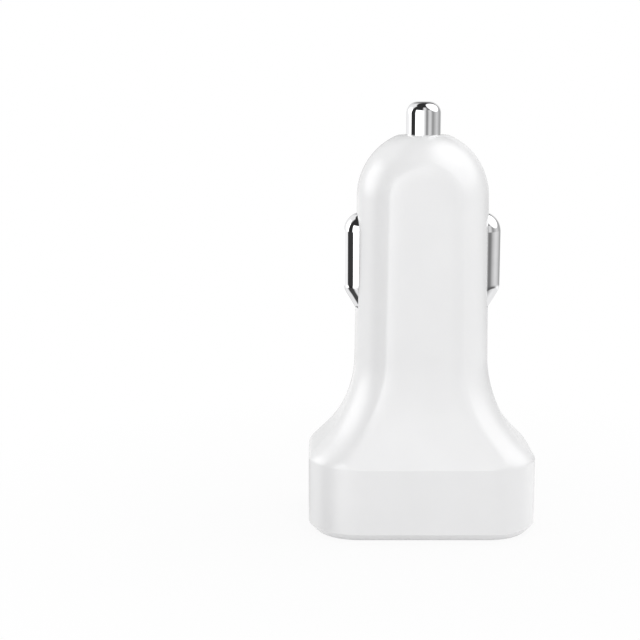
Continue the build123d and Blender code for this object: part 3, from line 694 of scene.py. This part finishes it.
@dataclass
class HousingSkin:
    """White moulding from the USB face's seam to the nose: head wall, flare, neck, dome and cut panels."""

    head_width: float
    head_depth: float
    seam_z: float
    nose_z: float
    head_corner: float = 8.0
    crease_z: float = 11.5
    flare_z: float = 27.5
    dome_z: float = 52.7
    neck_radius: float = 10.4
    neck_draft: float = 0.25
    panel_y: float = 9.2
    pin_hole: float = 2.8
    wall: float = 1.2
    panel_softness: float = 0.65
    panel_fade: float = 0.9
    crease_softness: float = 0.035
    nose_softness: float = 0.25
    shoulder: float = 0.9
    slot_play: float = 0.15
    sharp: float = 38.0
    # Half height of the fine rows at the crease, and radians of those before and after the nose's edge
    crease_band: float = 0.4
    edge_band: Pair = (0.1, 0.05)
    # Rows of the head, crease, flare and neck, of the dome and its edge, of the nose, and of the inside
    wall_rows: tuple[int, ...] = (8, 18, 56, 56)
    ball_rows: tuple[int, ...] = (40, 14)
    nose_rows: int = 4
    inner_wall_rows: int = 40
    inner_ball_rows: int = 16
    columns: int = 320
    wings: WingOutline = field(default_factory=WingOutline)

    @classmethod
    def from_frame(cls) -> "HousingSkin":
        """Skin whose outer sizes are those of the solid."""
        low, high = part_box("body_shell")
        return cls((high.x - low.x) / MM, (high.y - low.y) / MM, low.z / MM, high.z / MM)

    def section(self, azimuth: Array, z: Array, inset: float) -> Array:
        """Distance from the axis to the wall at an azimuth and height.

        A ray meets a rounded rectangle whose half width grows from the neck's radius to the head's along an
        arc that fills out to a shoulder near the head, by the arc's share to the fourth times what is left of
        it. Depth and corners follow sooner, as the share taken from one, squared and taken from one. Front
        and back panels cut the wall at a depth that follows a wider arc, with a soft edge that fades out
        where the panel reaches the crease.

        Args:
            azimuth: Angles of a row.
            z: Heights of the rows, as a column.
            inset: How far inside the outer face.

        Returns:
            Distances, one row for each height.
        """
        foot_radius = self.neck_radius + self.neck_draft
        spread_x = self.head_width / 2 - foot_radius
        spread_y = self.head_depth / 2 - foot_radius
        rise = self.flare_z - self.crease_z
        below = self.flare_z - z
        flared = arc_depth(below, rise, spread_x) / spread_x
        share = smooth_min(np.ones_like(z), flared, self.crease_softness)
        above = np.clip(-below / (self.dome_z - self.flare_z), 0.0, 1.0)
        radius = self.neck_radius + self.neck_draft * (1.0 - above)
        half_x = radius + spread_x * (share + self.shoulder * share**4 * (1.0 - share)) - inset
        full = 1.0 - (1.0 - share) ** 2
        half_y = radius + spread_y * full - inset
        corner = radius + (self.head_corner - foot_radius) * full - inset
        across = np.maximum(np.abs(np.cos(azimuth)), TINY)
        along = np.maximum(np.abs(np.sin(azimuth)), TINY)
        centre_x = half_x - corner
        centre_y = half_y - corner
        middle = centre_x * across + centre_y * along
        bend = middle + np.sqrt(np.maximum(middle**2 - centre_x**2 - centre_y**2 + corner**2, 0.0))
        sides = np.where(half_y * across / along <= centre_x, half_y / along, bend)
        rounded = np.where(half_x * along / across <= centre_y, half_x / across, sides)
        drop = self.head_depth / 2 - self.panel_y
        depth = self.panel_y + arc_depth(np.minimum(below, rise), rise, drop) - inset
        softness = np.clip(self.panel_fade * (half_y - depth), LEAST_SOFT, self.panel_softness)
        return smooth_min(rounded, depth / along, softness)

    def column_rows(self, azimuth: Array, z: Array, inset: float) -> Array:
        """Points of level rows round the head, flare and neck.

        Args:
            azimuth: Angles of a row.
            z: Heights of the rows.
            inset: How far inside the outer face.

        Returns:
            Points, one row for each height.
        """
        reach = self.section(azimuth, z[:, None], inset)
        height = np.broadcast_to(z[:, None], reach.shape)
        return np.stack([reach * np.cos(azimuth), reach * np.sin(azimuth), height], axis=-1)

    def dome_rows(self, azimuth: Array, lift: Array, inset: float) -> Array:
        """Points of rows round the dome at rising angles from its centre.

        The distance from the centre is the smallest of the ball's radius, the panel's plane and the flat of
        the nose along that direction, with soft edges between them.

        Args:
            azimuth: Angles of a row.
            lift: Rising angles of the rows.
            inset: How far inside the outer face.

        Returns:
            Points, one row for each rising angle.
        """
        level = np.cos(lift)[:, None]
        up = np.broadcast_to(np.sin(lift)[:, None], (len(lift), len(azimuth)))
        aside = np.maximum(np.abs(level * np.sin(azimuth)), TINY)
        ball = np.full(up.shape, self.neck_radius - inset)
        reach = smooth_min(ball, (self.panel_y - inset) / aside, self.panel_softness)
        flat = (self.nose_z - self.dome_z - inset) / np.maximum(up, TINY)
        reach = smooth_min(reach, flat, self.nose_softness)
        points = [reach * level * np.cos(azimuth), reach * level * np.sin(azimuth), self.dome_z + reach * up]
        return np.stack(points, axis=-1)

    def grid(self) -> Array:
        """Closed wall: up the outside, in over the nose, down the inside.

        Returns:
            Points, row by row.
        """
        azimuth = np.linspace(0, 2 * math.pi, self.columns, endpoint=False)
        nose = self.nose_z - self.dome_z
        edge = math.acos(min(1.0, math.sqrt(self.neck_radius**2 - nose**2) / self.neck_radius))
        before, after = edge - self.edge_band[0], edge + self.edge_band[1]
        crease = (self.crease_z - self.crease_band, self.crease_z + self.crease_band)
        heights = spaced((self.seam_z, *crease, self.flare_z, self.dome_z), self.wall_rows)
        nose_lifts = np.linspace(after, math.atan2(nose, self.pin_hole), self.nose_rows)
        lifts = np.concatenate([spaced((0.0, before, after), self.ball_rows), nose_lifts])
        inner_heights = spaced((self.seam_z, self.dome_z), (self.inner_wall_rows,))
        inner_lifts = np.linspace(0, math.atan2(nose - self.wall, self.pin_hole), self.inner_ball_rows)
        rows = [
            self.column_rows(azimuth, heights, 0.0),
            self.dome_rows(azimuth, lifts, 0.0),
            self.dome_rows(azimuth, inner_lifts[::-1], self.wall),
            self.column_rows(azimuth, inner_heights[::-1], self.wall),
        ]
        return np.concatenate(rows)

    def slot_cutter(self) -> Piece:
        """Two prisms with the outline of the side contacts and their play, through the neck's wall.

        Returns:
            Both prisms as one piece.
        """
        width, height = self.wings.profile(self.slot_play, 2)
        y = np.concatenate([width, -width[-2::-1]])
        z = np.concatenate([height, height[-2::-1]])
        inner = self.neck_radius - 2 * self.wall
        outer = self.neck_radius + self.wall
        near = np.stack([np.full_like(y, inner), y, z], axis=-1)
        far = near + np.array([outer - inner, 0.0, 0.0])
        turned = np.array([-1, -1, 1])
        points = np.concatenate([near, far, near * turned, far * turned]) * MM
        count = len(y)
        ring = np.arange(count)
        beside = (ring + 1) % count
        sides = np.stack([ring, beside, beside + count, ring + count], axis=-1)
        prism = [*sides, ring[::-1], ring + count]
        faces = [(face + shift).tolist() for shift in (0, 2 * count) for face in prism]
        mesh = bpy.data.meshes.new("slot_cutter")
        mesh.from_pydata(points, [], faces)
        work = bmesh.new()
        work.from_mesh(mesh)
        bmesh.ops.recalc_face_normals(work, faces=work.faces)
        work.to_mesh(mesh)
        work.free()
        return place(mesh)

    def build(self) -> Piece:
        """Wall as one closed grid with the two slots cut through it.

        Returns:
            The skin.
        """
        points = self.grid()
        quads = grid_quads(len(points), self.columns, wrap_rows=True)
        skin = place(mesh_from_grid("housing_skin", points, quads))
        cutter = self.slot_cutter()
        cut = skin.modifiers.new("slots", "BOOLEAN")
        cut.operation = "DIFFERENCE"
        cut.solver = "EXACT"
        cut.object = cutter
        bake_modifiers(skin)
        bpy.data.objects.remove(cutter)
        shade(skin.data, self.sharp)
        return skin

    def dress(self, skin: Piece, finishes: Finishes) -> None:
        """White gloss, riding on the housing in place of its solid.

        Args:
            skin: The skin.
            finishes: Materials of the slots.
        """
        finishes.dress(skin, Slot.HOUSING)
        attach(skin, Body.HOUSING.value)
        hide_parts("body_shell")


@dataclass
class NoseContact:
    """Sprung pin in the nose: rounded tip, shank, flange behind the nose wall and spigot for the spring."""

    radius: float = 2.7
    tip_round: float = 1.8
    flange_radius: float = 3.7
    flange_height: float = 1.0
    flange_gap: float = 0.05
    spigot_radius: float = 2.4
    spigot_height: float = 2.4
    edge: float = 0.12
    sharp: float = 40.0
    shank_rows: int = 12
    tip_rows: int = 25
    crown_rows: int = 6
    columns: int = 128

    def profile(self) -> Array:
        """Outline from the spigot's foot to the tip, with small rounds on the hidden edges.

        Straight steps lead up to the shank, a quarter of a circle rounds the tip, and a flat closes it.

        Returns:
            Radius and height of each point.
        """
        low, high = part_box("centre_pin")
        foot, tip = low.z / MM, high.z / MM
        shoulder = tip - self.tip_round
        flange = foot + self.spigot_height
        seat = flange + self.flange_height - self.flange_gap
        steps = np.array(
            [
                (0.0, foot),
                (self.spigot_radius - self.edge, foot),
                (self.spigot_radius, foot + self.edge),
                (self.spigot_radius, flange),
                (self.flange_radius - self.edge, flange),
                (self.flange_radius, flange + self.edge),
                (self.flange_radius, seat - self.edge),
                (self.flange_radius - self.edge, seat),
                (self.radius, seat),
            ]
        )
        shank_z = np.linspace(seat, shoulder, self.shank_rows + 1)[1:-1]
        shank = np.stack([np.full_like(shank_z, self.radius), shank_z], axis=-1)
        quarter = np.linspace(0, math.pi / 2, self.tip_rows)
        curve_r = self.radius - self.tip_round + self.tip_round * np.cos(quarter)
        top = np.stack([curve_r, shoulder + self.tip_round * np.sin(quarter)], axis=-1)
        crown = np.linspace(1.0, 0.0, self.crown_rows)[1:] * curve_r[-1]
        cap = np.stack([crown, np.full_like(crown, tip)], axis=-1)
        return np.concatenate([steps, shank, top, cap])

    def build(self) -> Piece:
        """Profile turned round the axis; the first and last rows close to a point.

        Returns:
            The pin.
        """
        profile = self.profile()
        turn = np.linspace(0, 2 * math.pi, self.columns, endpoint=False)
        radius = profile[:, :1]
        height = np.broadcast_to(profile[:, 1:], (len(profile), self.columns))
        points = np.stack([radius * np.cos(turn), radius * np.sin(turn), height], axis=-1)
        pin = place(mesh_from_grid("nose_contact", points, grid_quads(len(profile), self.columns)))
        shade(pin.data, self.sharp)
        return pin

    def dress(self, pin: Piece, finishes: Finishes) -> None:
        """Chrome, riding on the pin in place of its solid.

        Args:
            pin: The pin.
            finishes: Materials of the slots.
        """
        finishes.dress(pin, Slot.CHROME)
        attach(pin, Body.PIN.value)
        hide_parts("centre_pin")


@dataclass
class SideContact:
    """Sprung side contact of folded sheet: round back, bullet top and lower end that leans in to the neck."""

    side: Side
    axis_x: float = 9.7
    root_x: float = 7.9
    sheet: float = 0.4
    bevel_rise: float = 2.9
    bevel_run: float = 1.75
    bevel_softness: float = 0.4
    sharp: float = 50.0
    straight_rows: int = 60
    flank_columns: int = 5
    round_columns: int = 65
    outline: WingOutline = field(default_factory=WingOutline)

    def grid(self) -> Array:
        """Outer face of the sheet, a row for each height.

        Each row is a half circle of the outline's width about the contact's axis, with straight flanks back
        to the root; over the lower end the axis leans in along a slope that meets the upright in a soft bend.

        Returns:
            Points, row by row.
        """
        width, height = self.outline.profile(0.0, self.straight_rows)
        width, z = width[:, None], height[:, None]
        slope = self.bevel_run * ((z - self.outline.base_z) / self.bevel_rise - 1.0)
        axis = self.axis_x + smooth_min(np.zeros_like(z), slope, self.bevel_softness)
        root = np.minimum(self.root_x, axis - self.sheet)
        turn = np.linspace(-math.pi / 2, math.pi / 2, self.round_columns)
        flank_x = root + (axis - root) * np.linspace(0, 1, self.flank_columns, endpoint=False)
        flank_y = np.broadcast_to(width, flank_x.shape)
        x = np.concatenate([flank_x, axis + width * np.cos(turn), flank_x[:, ::-1]], axis=1)
        y = np.concatenate([-flank_y, width * np.sin(turn), flank_y], axis=1)
        z = np.broadcast_to(z, x.shape)
        return np.stack([self.side.value * x, self.side.value * y, z], axis=-1)

    def build(self) -> Piece:
        """Grid thickened inward to a sheet.

        Returns:
            The contact.
        """
        points = self.grid()
        quads = grid_quads(*points.shape[:2], wrap_columns=False)
        contact = place(mesh_from_grid(f"side_contact_{self.side.word()}", points, quads))
        thicken(contact, self.sheet, -1.0)
        shade(contact.data, self.sharp)
        return contact

    def dress(self, contact: Piece, finishes: Finishes) -> None:
        """Chrome, riding on its own body in place of its solid.

        Args:
            contact: The contact.
            finishes: Materials of the slots.
        """
        finishes.dress(contact, Slot.CHROME)
        body = self.side.body()
        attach(contact, body.value)
        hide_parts(f"ground_{body.value}")


def rounded_path(corners: Array, radius: float, samples: int, mark: float, arc_points: int = 9) -> Array:
    """Line through corners with each inner corner rounded, sampled along its length.

    A corner is cut back by the radius times the tangent of half its turn on both sides, and an arc about the
    point a radius inside joins the two ends.

    Args:
        corners: Corner points, one to a row.
        radius: Radius of the arcs.
        samples: Number of evenly spaced points.
        mark: Length along the line that gets a point as well.
        arc_points: Points on each arc.

    Returns:
        Points of the line in order.
    """
    runs = np.diff(corners, axis=0)
    ways = runs / np.linalg.norm(runs, axis=1, keepdims=True)
    pieces = [corners[:1]]
    for corner, before, after in zip(corners[1:-1], ways[:-1], ways[1:]):
        turn = math.acos(float(before @ after))
        inward = after - before * math.cos(turn)
        inward /= np.linalg.norm(inward)
        start = corner - before * radius * math.tan(turn / 2)
        sweep = np.linspace(0, turn, arc_points)[:, None]
        pieces.append(start + inward * radius * (1 - np.cos(sweep)) + before * radius * np.sin(sweep))
    line = np.concatenate([*pieces, corners[-1:]])
    length = np.concatenate([[0.0], np.cumsum(np.linalg.norm(np.diff(line, axis=0), axis=1))])
    places = np.unique(np.append(np.linspace(0, length[-1], samples), mark))
    return np.stack([np.interp(places, length, axis) for axis in line.T], axis=-1)


@dataclass
class CoilSpring:
    """Coil spring of round wire between the cup's floor and the pin's flange, with closed end turns."""

    turns: float = 7.0
    closed: float = 0.9
    flat_share: float = 0.5
    wire: float = 0.3
    steps: int = 40
    sides: int = 12
    sharp: float = 60.0

    def grid(self) -> Array:
        """Surface of the wire, a ring for each step along it.

        The middle line turns at a constant radius while its height is the running sum of a pitch that is one
        wire at both ends and wide between; each ring lies across the line, and the end rings close to a
        point.

        Returns:
            Points, ring by ring.
        """
        low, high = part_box("pin_spring")
        radius = (high.x - low.x) / MM / 2 - self.wire
        turn = np.linspace(0, self.turns, int(self.turns * self.steps) + 1)
        from_end = np.minimum(turn, self.turns - turn) / self.closed
        share = np.clip(from_end - self.flat_share, 0.0, 1.0)
        wide = (high.z - low.z) / MM / (self.turns - 2 * self.closed)
        pitch = 2 * self.wire + (wide - 2 * self.wire) * share * share * (3 - 2 * share)
        rise = np.concatenate([[0.0], np.cumsum((pitch[1:] + pitch[:-1]) / 2)])
        foot, top = low.z / MM + self.wire, high.z / MM - self.wire
        height = foot + rise / rise[-1] * (top - foot)
        angle = 2 * math.pi * turn
        out = np.stack([np.cos(angle), np.sin(angle), np.zeros_like(angle)], axis=-1)
        line = radius * out + np.array([0.0, 0.0, 1.0]) * height[:, None]
        along = np.gradient(line, axis=0)
        along /= np.linalg.norm(along, axis=1, keepdims=True)
        up = np.cross(along, out)
        around = np.linspace(0, 2 * math.pi, self.sides, endpoint=False)[None, :, None]
        rings = line[:, None] + self.wire * (np.cos(around) * out[:, None] - np.sin(around) * up[:, None])
        ends = [np.broadcast_to(line[row], (1, self.sides, 3)) for row in (0, -1)]
        return np.concatenate([ends[0], rings, ends[1]])

    def build(self) -> Piece:
        """Wire as one closed tube.

        Returns:
            The coil.
        """
        points = self.grid()
        coil = place(mesh_from_grid("coil_spring", points, grid_quads(len(points), self.sides)))
        shade(coil.data, self.sharp)
        return coil

    def dress(self, coil: Piece, finishes: Finishes) -> None:
        """Drawn steel in place of its solid, between the housing and the pin but riding on neither.

        Args:
            coil: The coil.
            finishes: Materials of the slots.
        """
        finishes.dress(coil, Slot.SPRING)
        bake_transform(coil)
        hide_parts("pin_spring")


@dataclass
class LeafSpring:
    """Bent leaf behind a side contact: forked foot over the board's edge, knee, long arm and curled top."""

    side: Side
    foot_z: float = 31.2
    knee_x: float = 7.246
    knee_z: float = 36.45
    crest_x: float = 10.95
    crest_z: float = 44.2
    curl_x: float = 9.35
    curl_z: float = 47.2
    bend: float = 0.8
    sheet: float = 0.25
    half_width: float = 1.5
    fork_length: float = 1.85
    fork_half: float = 0.55
    sharp: float = 40.0
    samples: int = 90

    def node(self) -> str:
        """Name of the solid that the leaf stands for."""
        return f"ground_spring_{self.side.word()}"

    def build(self) -> Piece:
        """Strip carried along the bent line, with the fork's gap left open, thickened to the sheet.

        Returns:
            The leaf.
        """
        low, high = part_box(self.node())
        foot_x = min(abs(low.x), abs(high.x)) / MM
        corners = np.array(
            [
                (foot_x, self.foot_z),
                (self.knee_x, self.foot_z),
                (self.knee_x, self.knee_z),
                (self.crest_x, self.crest_z),
                (self.curl_x, self.curl_z),
            ]
        )
        line = rounded_path(corners, self.bend, self.samples, self.fork_length)
        middle = (self.half_width + self.fork_half) / 2
        half = np.array([self.fork_half, middle, self.half_width])
        width = np.concatenate([-half[::-1], half])
        x = np.broadcast_to(line[:, :1], (len(line), len(width)))
        z = np.broadcast_to(line[:, 1:], x.shape)
        y = np.broadcast_to(width, x.shape)
        points = np.stack([self.side.value * x, self.side.value * y, z], axis=-1)
        quads = grid_quads(len(line), len(width), wrap_columns=False)
        centre = points.reshape(-1, 3)[quads].mean(axis=1)
        fork_end = foot_x + self.fork_length
        open_gap = (np.abs(centre[:, 0]) < fork_end) & (np.abs(centre[:, 1]) < self.fork_half)
        open_gap &= centre[:, 2] < self.foot_z + self.sheet
        leaf = place(mesh_from_grid(f"leaf_spring_{self.side.word()}", points, quads[~open_gap]))
        thicken(leaf, self.sheet, 0.0)
        bake_modifiers(leaf)
        shade(leaf.data, self.sharp)
        return leaf

    def dress(self, leaf: Piece, finishes: Finishes) -> None:
        """Drawn steel in place of its solid, between the housing and the side contact but riding on neither.

        Args:
            leaf: The leaf.
            finishes: Materials of the slots.
        """
        finishes.dress(leaf, Slot.SPRING)
        body = self.side.body()
        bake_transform(leaf)
        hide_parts(self.node())


@dataclass
class Interior:
    """Face plate, ports, boards and what stands on them, which keep their solids and take finishes."""

    slots: dict[str, str] = field(default_factory=dict)

    @classmethod
    def from_record(cls) -> "Interior":
        """Slots of the solids as the record gives them."""
        return cls({part["node"]: part["material_slot"] for part in frame["record"]["subparts"]})

    def dress(self, finishes: Finishes) -> None:
        """Gives every solid that shows the finish of its slot.

        Args:
            finishes: Materials of the slots.
        """
        for name, piece in frame["nodes"].items():
            if not piece.hide_render:
                finishes.dress(piece, Slot(self.slots[name]))
                LOG.info("solid %s dressed in %s", name, self.slots[name])


@dataclass(frozen=True)
class SoftBox:
    """Round bright patch of the sky: degrees round from the front and up, half angle, and brightness."""

    turn: float
    lift: float
    spread: float
    bright: float

    def axis(self) -> Triple:
        """Direction of its middle."""
        turn, lift = math.radians(self.turn), math.radians(self.lift)
        return (math.cos(lift) * math.sin(turn), -math.cos(lift) * math.cos(turn), math.sin(lift))


@dataclass(frozen=True)
class Lamp:
    """Square lamp over the plug: name, place and side in millimetres, and watts."""

    name: str
    place: Triple
    size: float
    watts: float


@dataclass
class Studio:
    """White sweep, lamps, camera, and a sky with reflection cards.

    Each row of cards holds pairs of degrees round from the front and brightness. A fade gives the Z of the
    directions between which a row gives way to the next one up. The upper rows end at a top in degrees, with
    an edge that is soft by an angle in radians.
    """

    camera_place: Triple = (-16.2, -220.9, 71.8)
    camera_pitch: float = 80.0
    camera_range: Pair = (10.0, 20000.0)
    lens: float = 78.75
    sensor: float = 36.0
    floor_size: float = 2400.0
    floor_drop: float = 0.05
    floor_grey: float = 0.8
    floor_white: float = 0.9
    floor_fade: Pair = (30.0, 90.0)
    card_distance: Pair = (16.0, 24.0)
    ambient: float = 0.95
    gloss: float = 2.2
    ground_cards: Stops = (
        (-180, 0.4), (-112, 0.4), (-99, 0.03), (-57, 0.03), (-44, 0.4), (8, 0.3), (28, 0.13), (44, 0.2),
        (62, 0.34), (84, 0.42), (180, 0.4),
    )
    ground_fade: Pair = (-0.36, -0.295)
    base_cards: Stops = (
        (-180, 0.16), (-170, 0.22), (-158, 0.32), (-125, 0.5), (-97, 0.8), (-92, 0.01), (-62, 0.01),
        (-56, 0.53), (-35, 0.5), (-20, 0.26), (-6, 0.12), (1, 0.08), (12, 0.05), (24, 0.05), (36, 0.06),
        (62, 0.05), (84, 0.1), (98, 0.3), (112, 0.5), (140, 0.5), (165, 0.3), (180, 0.16),
    )
    base_fade: Pair = (-0.26, -0.14)
    foot_cards: Stops = (
        (-180, 0.3), (-170, 0.44), (-158, 0.58), (-140, 0.47), (-104, 0.47), (-99, 0.02), (-57, 0.02),
        (-51, 1.0), (-35, 0.95), (-20, 0.7), (-6, 0.55), (1, 0.48), (12, 0.34), (24, 0.17), (36, 0.085),
        (48, 0.12), (60, 0.24), (70, 0.29), (82, 0.35), (96, 0.35), (110, 0.3), (122, 0.24), (134, 0.18),
        (144, 0.16), (156, 0.3), (168, 0.45), (180, 0.3),
    )
    foot_fade: Pair = (-0.1, -0.05)
    level_cards: Stops = (
        (-180, 0.2), (-170, 0.32), (-158, 0.42), (-120, 0.46), (-97, 0.85), (-92, 0.015), (-63, 0.015),
        (-57, 1.0), (-35, 0.95), (-20, 0.7), (-6, 0.55), (1, 0.42), (8, 0.31), (14, 0.15), (21, 0.12),
        (28, 0.25), (35, 0.33), (42, 0.33), (49, 0.27), (57, 0.15), (65, 0.155), (73, 0.216), (81, 0.253),
        (90, 0.308), (100, 0.3), (111, 0.24), (124, 0.18), (140, 0.2), (155, 0.38), (168, 0.36), (180, 0.3),
    )
    level_top: float = 31.0
    high_cards: Stops = (
        (-180, 0.06), (-165, 0.15), (-150, 0.42), (-100, 0.42), (-88, 0.015), (-14, 0.015), (-3, 0.35),
        (9, 0.35), (24, 0.08), (40, 0.12), (120, 0.12), (150, 0.06), (180, 0.06),
    )
    high_top: float = 60.0
    zenith: float = 0.015
    edge_softness: float = 0.05
    boxes: tuple[SoftBox, ...] = (
        SoftBox(92.0, 46.0, 35.5, 0.65),
        SoftBox(96.0, 58.0, 18.0, 0.9),
        SoftBox(-113.0, 18.0, 18.0, 1.2),
    )
    lamps: tuple[Lamp, ...] = (
        Lamp("right_box", (244.0, 43.0, 280.0), 220.0, 0.16),
        Lamp("front_box", (60.0, -330.0, 190.0), 220.0, 0.16),
    )
    lamp_aim_z: float = 33.0

    def camera(self) -> None:
        """Camera at the photograph's height and angle."""
        data = bpy.data.cameras.new("camera")
        data.lens = self.lens
        data.sensor_width = self.sensor
        data.clip_start, data.clip_end = (distance * MM for distance in self.camera_range)
        camera = bpy.data.objects.new("camera", data)
        camera.location = tuple(value * MM for value in self.camera_place)
        camera.rotation_euler = (math.radians(self.camera_pitch), 0.0, 0.0)
        bpy.context.scene.collection.objects.link(camera)
        bpy.context.scene.camera = camera

    def floor(self) -> None:
        """Pale floor that is white to the camera, with a share left for the shadow.

        Mirror rays see the white floor near the plug, and past the cards' distance the cards of the sky.
        """
        half = self.floor_size / 2
        corners = np.array([(-half, -half), (half, -half), (half, half), (-half, half)])
        corners = np.column_stack([corners, np.full(4, -self.floor_drop)])
        piece = place(mesh_from_grid("floor", corners, np.array([[0, 1, 2, 3]])))
        material = bpy.data.materials.new("white_sweep")
        wiring = Wiring(material)
        paths = wiring.add("ShaderNodeLightPath").outputs
        seen = wiring.reckon("MAXIMUM", paths["Is Camera Ray"], paths["Is Transmission Ray"])
        seen = wiring.reckon("MAXIMUM", seen, paths["Is Glossy Ray"])
        matt = wiring.add("ShaderNodeBsdfDiffuse", (self.floor_grey, self.floor_grey, self.floor_grey, 1.0))
        white = wiring.add("ShaderNodeEmission", WHITE)
        spot = wiring.add("ShaderNodeTexCoord").outputs["Object"]
        away = wiring.add("ShaderNodeVectorMath", spot, operation="LENGTH").outputs["Value"]
        near, far = (distance * MM for distance in self.floor_fade)
        fade = wiring.add("ShaderNodeMapRange", away, near, far, self.floor_white, 1.0).outputs[0]
        share = wiring.reckon("MULTIPLY", seen, fade)
        solid = wiring.add("ShaderNodeMixShader", share, matt.outputs[0], white.outputs[0])
        past = wiring.rise(away, *(distance * MM for distance in self.card_distance))
        open_share = wiring.reckon("MULTIPLY", past, paths["Is Glossy Ray"])
        clear = wiring.add("ShaderNodeBsdfTransparent")
        mixed = wiring.add("ShaderNodeMixShader", open_share, solid.outputs[0], clear.outputs[0])
        wiring.add("ShaderNodeOutputMaterial", mixed.outputs[0])
        piece.data.materials.append(material)

    def soft_edge(self, degrees: float) -> Pair:
        """Z of the directions just under and just over a height in degrees."""
        lift = math.radians(degrees)
        return math.sin(lift - self.edge_softness), math.sin(lift + self.edge_softness)

    def cards(self, wiring: Wiring, look: Socket) -> Socket:
        """Rows of cards from the ground up, and the bright boxes over them.

        Args:
            wiring: Nodes of the sky.
            look: Direction.

        Returns:
            Brightness in that direction.
        """
        x, y, z = wiring.add("ShaderNodeSeparateXYZ", look).outputs
        turn = wiring.reckon("ARCTAN2", x, wiring.reckon("MULTIPLY", y, -1.0))
        rows = (
            (self.ground_fade, self.base_cards),
            (self.base_fade, self.foot_cards),
            (self.foot_fade, self.level_cards),
            (self.soft_edge(self.level_top), self.high_cards),
        )
        bright = wiring.ramp(turn, self.ground_cards)
        for fade, stops in rows:
            bright = wiring.mix(wiring.rise(z, *fade), bright, wiring.ramp(turn, stops))
        bright = wiring.mix(wiring.rise(z, *self.soft_edge(self.high_top)), bright, self.zenith)
        for box in self.boxes:
            dot = wiring.add("ShaderNodeVectorMath", look, box.axis(), operation="DOT_PRODUCT")
            spread = math.radians(box.spread)
            start, end = math.cos(spread + self.edge_softness), math.cos(spread - self.edge_softness)
            bright = wiring.mix(wiring.rise(dot.outputs["Value"], start, end), bright, box.bright)
        return bright

    def sky(self) -> None:
        """White to the camera; to mirror rays, bright boxes and dark cards by the angle round the plug."""
        world = bpy.data.worlds.new("studio")
        bpy.context.scene.world = world
        wiring = Wiring(world)
        look = wiring.add("ShaderNodeTexCoord").outputs["Generated"]
        mirror = wiring.reckon("MULTIPLY", self.cards(wiring, look), self.gloss)
        paths = wiring.add("ShaderNodeLightPath").outputs
        lit = wiring.mix(paths["Is Glossy Ray"], self.ambient, mirror)
        seen = wiring.reckon("MAXIMUM", paths["Is Camera Ray"], paths["Is Transmission Ray"])
        light = wiring.add("ShaderNodeBackground", WHITE, wiring.mix(seen, lit, 1.0))
        wiring.add("ShaderNodeOutputWorld", light.outputs[0])

    def hang(self, lamp: Lamp) -> None:
        """Hangs a lamp that looks at the middle of the plug; mirrors show the sky's boxes in its stead.

        Args:
            lamp: The lamp.
        """
        data = bpy.data.lights.new(lamp.name, "AREA")
        data.size = lamp.size * MM
        data.energy = lamp.watts
        light = bpy.data.objects.new(lamp.name, data)
        light.visible_glossy = False
        x, y, z = lamp.place
        tilt = math.atan2(math.hypot(x, y), z - self.lamp_aim_z)
        light.location = tuple(value * MM for value in lamp.place)
        light.rotation_euler = (tilt, 0.0, math.atan2(y, x) + math.pi / 2)
        bpy.context.scene.collection.objects.link(light)

    def build(self) -> None:
        """Camera, floor, sky and lamps."""
        bpy.context.scene.view_settings.view_transform = "Standard"
        self.camera()
        self.floor()
        self.sky()
        for lamp in self.lamps:
            self.hang(lamp)


def main() -> None:
    """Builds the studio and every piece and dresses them."""
    logging.basicConfig(level=logging.INFO, format="%(name)s: %(message)s")
    Studio().build()
    finishes = Finishes()
    parts = [HousingSkin.from_frame(), NoseContact(), CoilSpring()]
    for side in Side:
        parts += [SideContact(side), LeafSpring(side)]
    for part in parts:
        piece = part.build()
        part.dress(piece, finishes)
        LOG.info("piece %s has %d faces", piece.name, len(piece.data.polygons))
    Interior.from_record().dress(finishes)


if __name__ == "__main__":
    main()
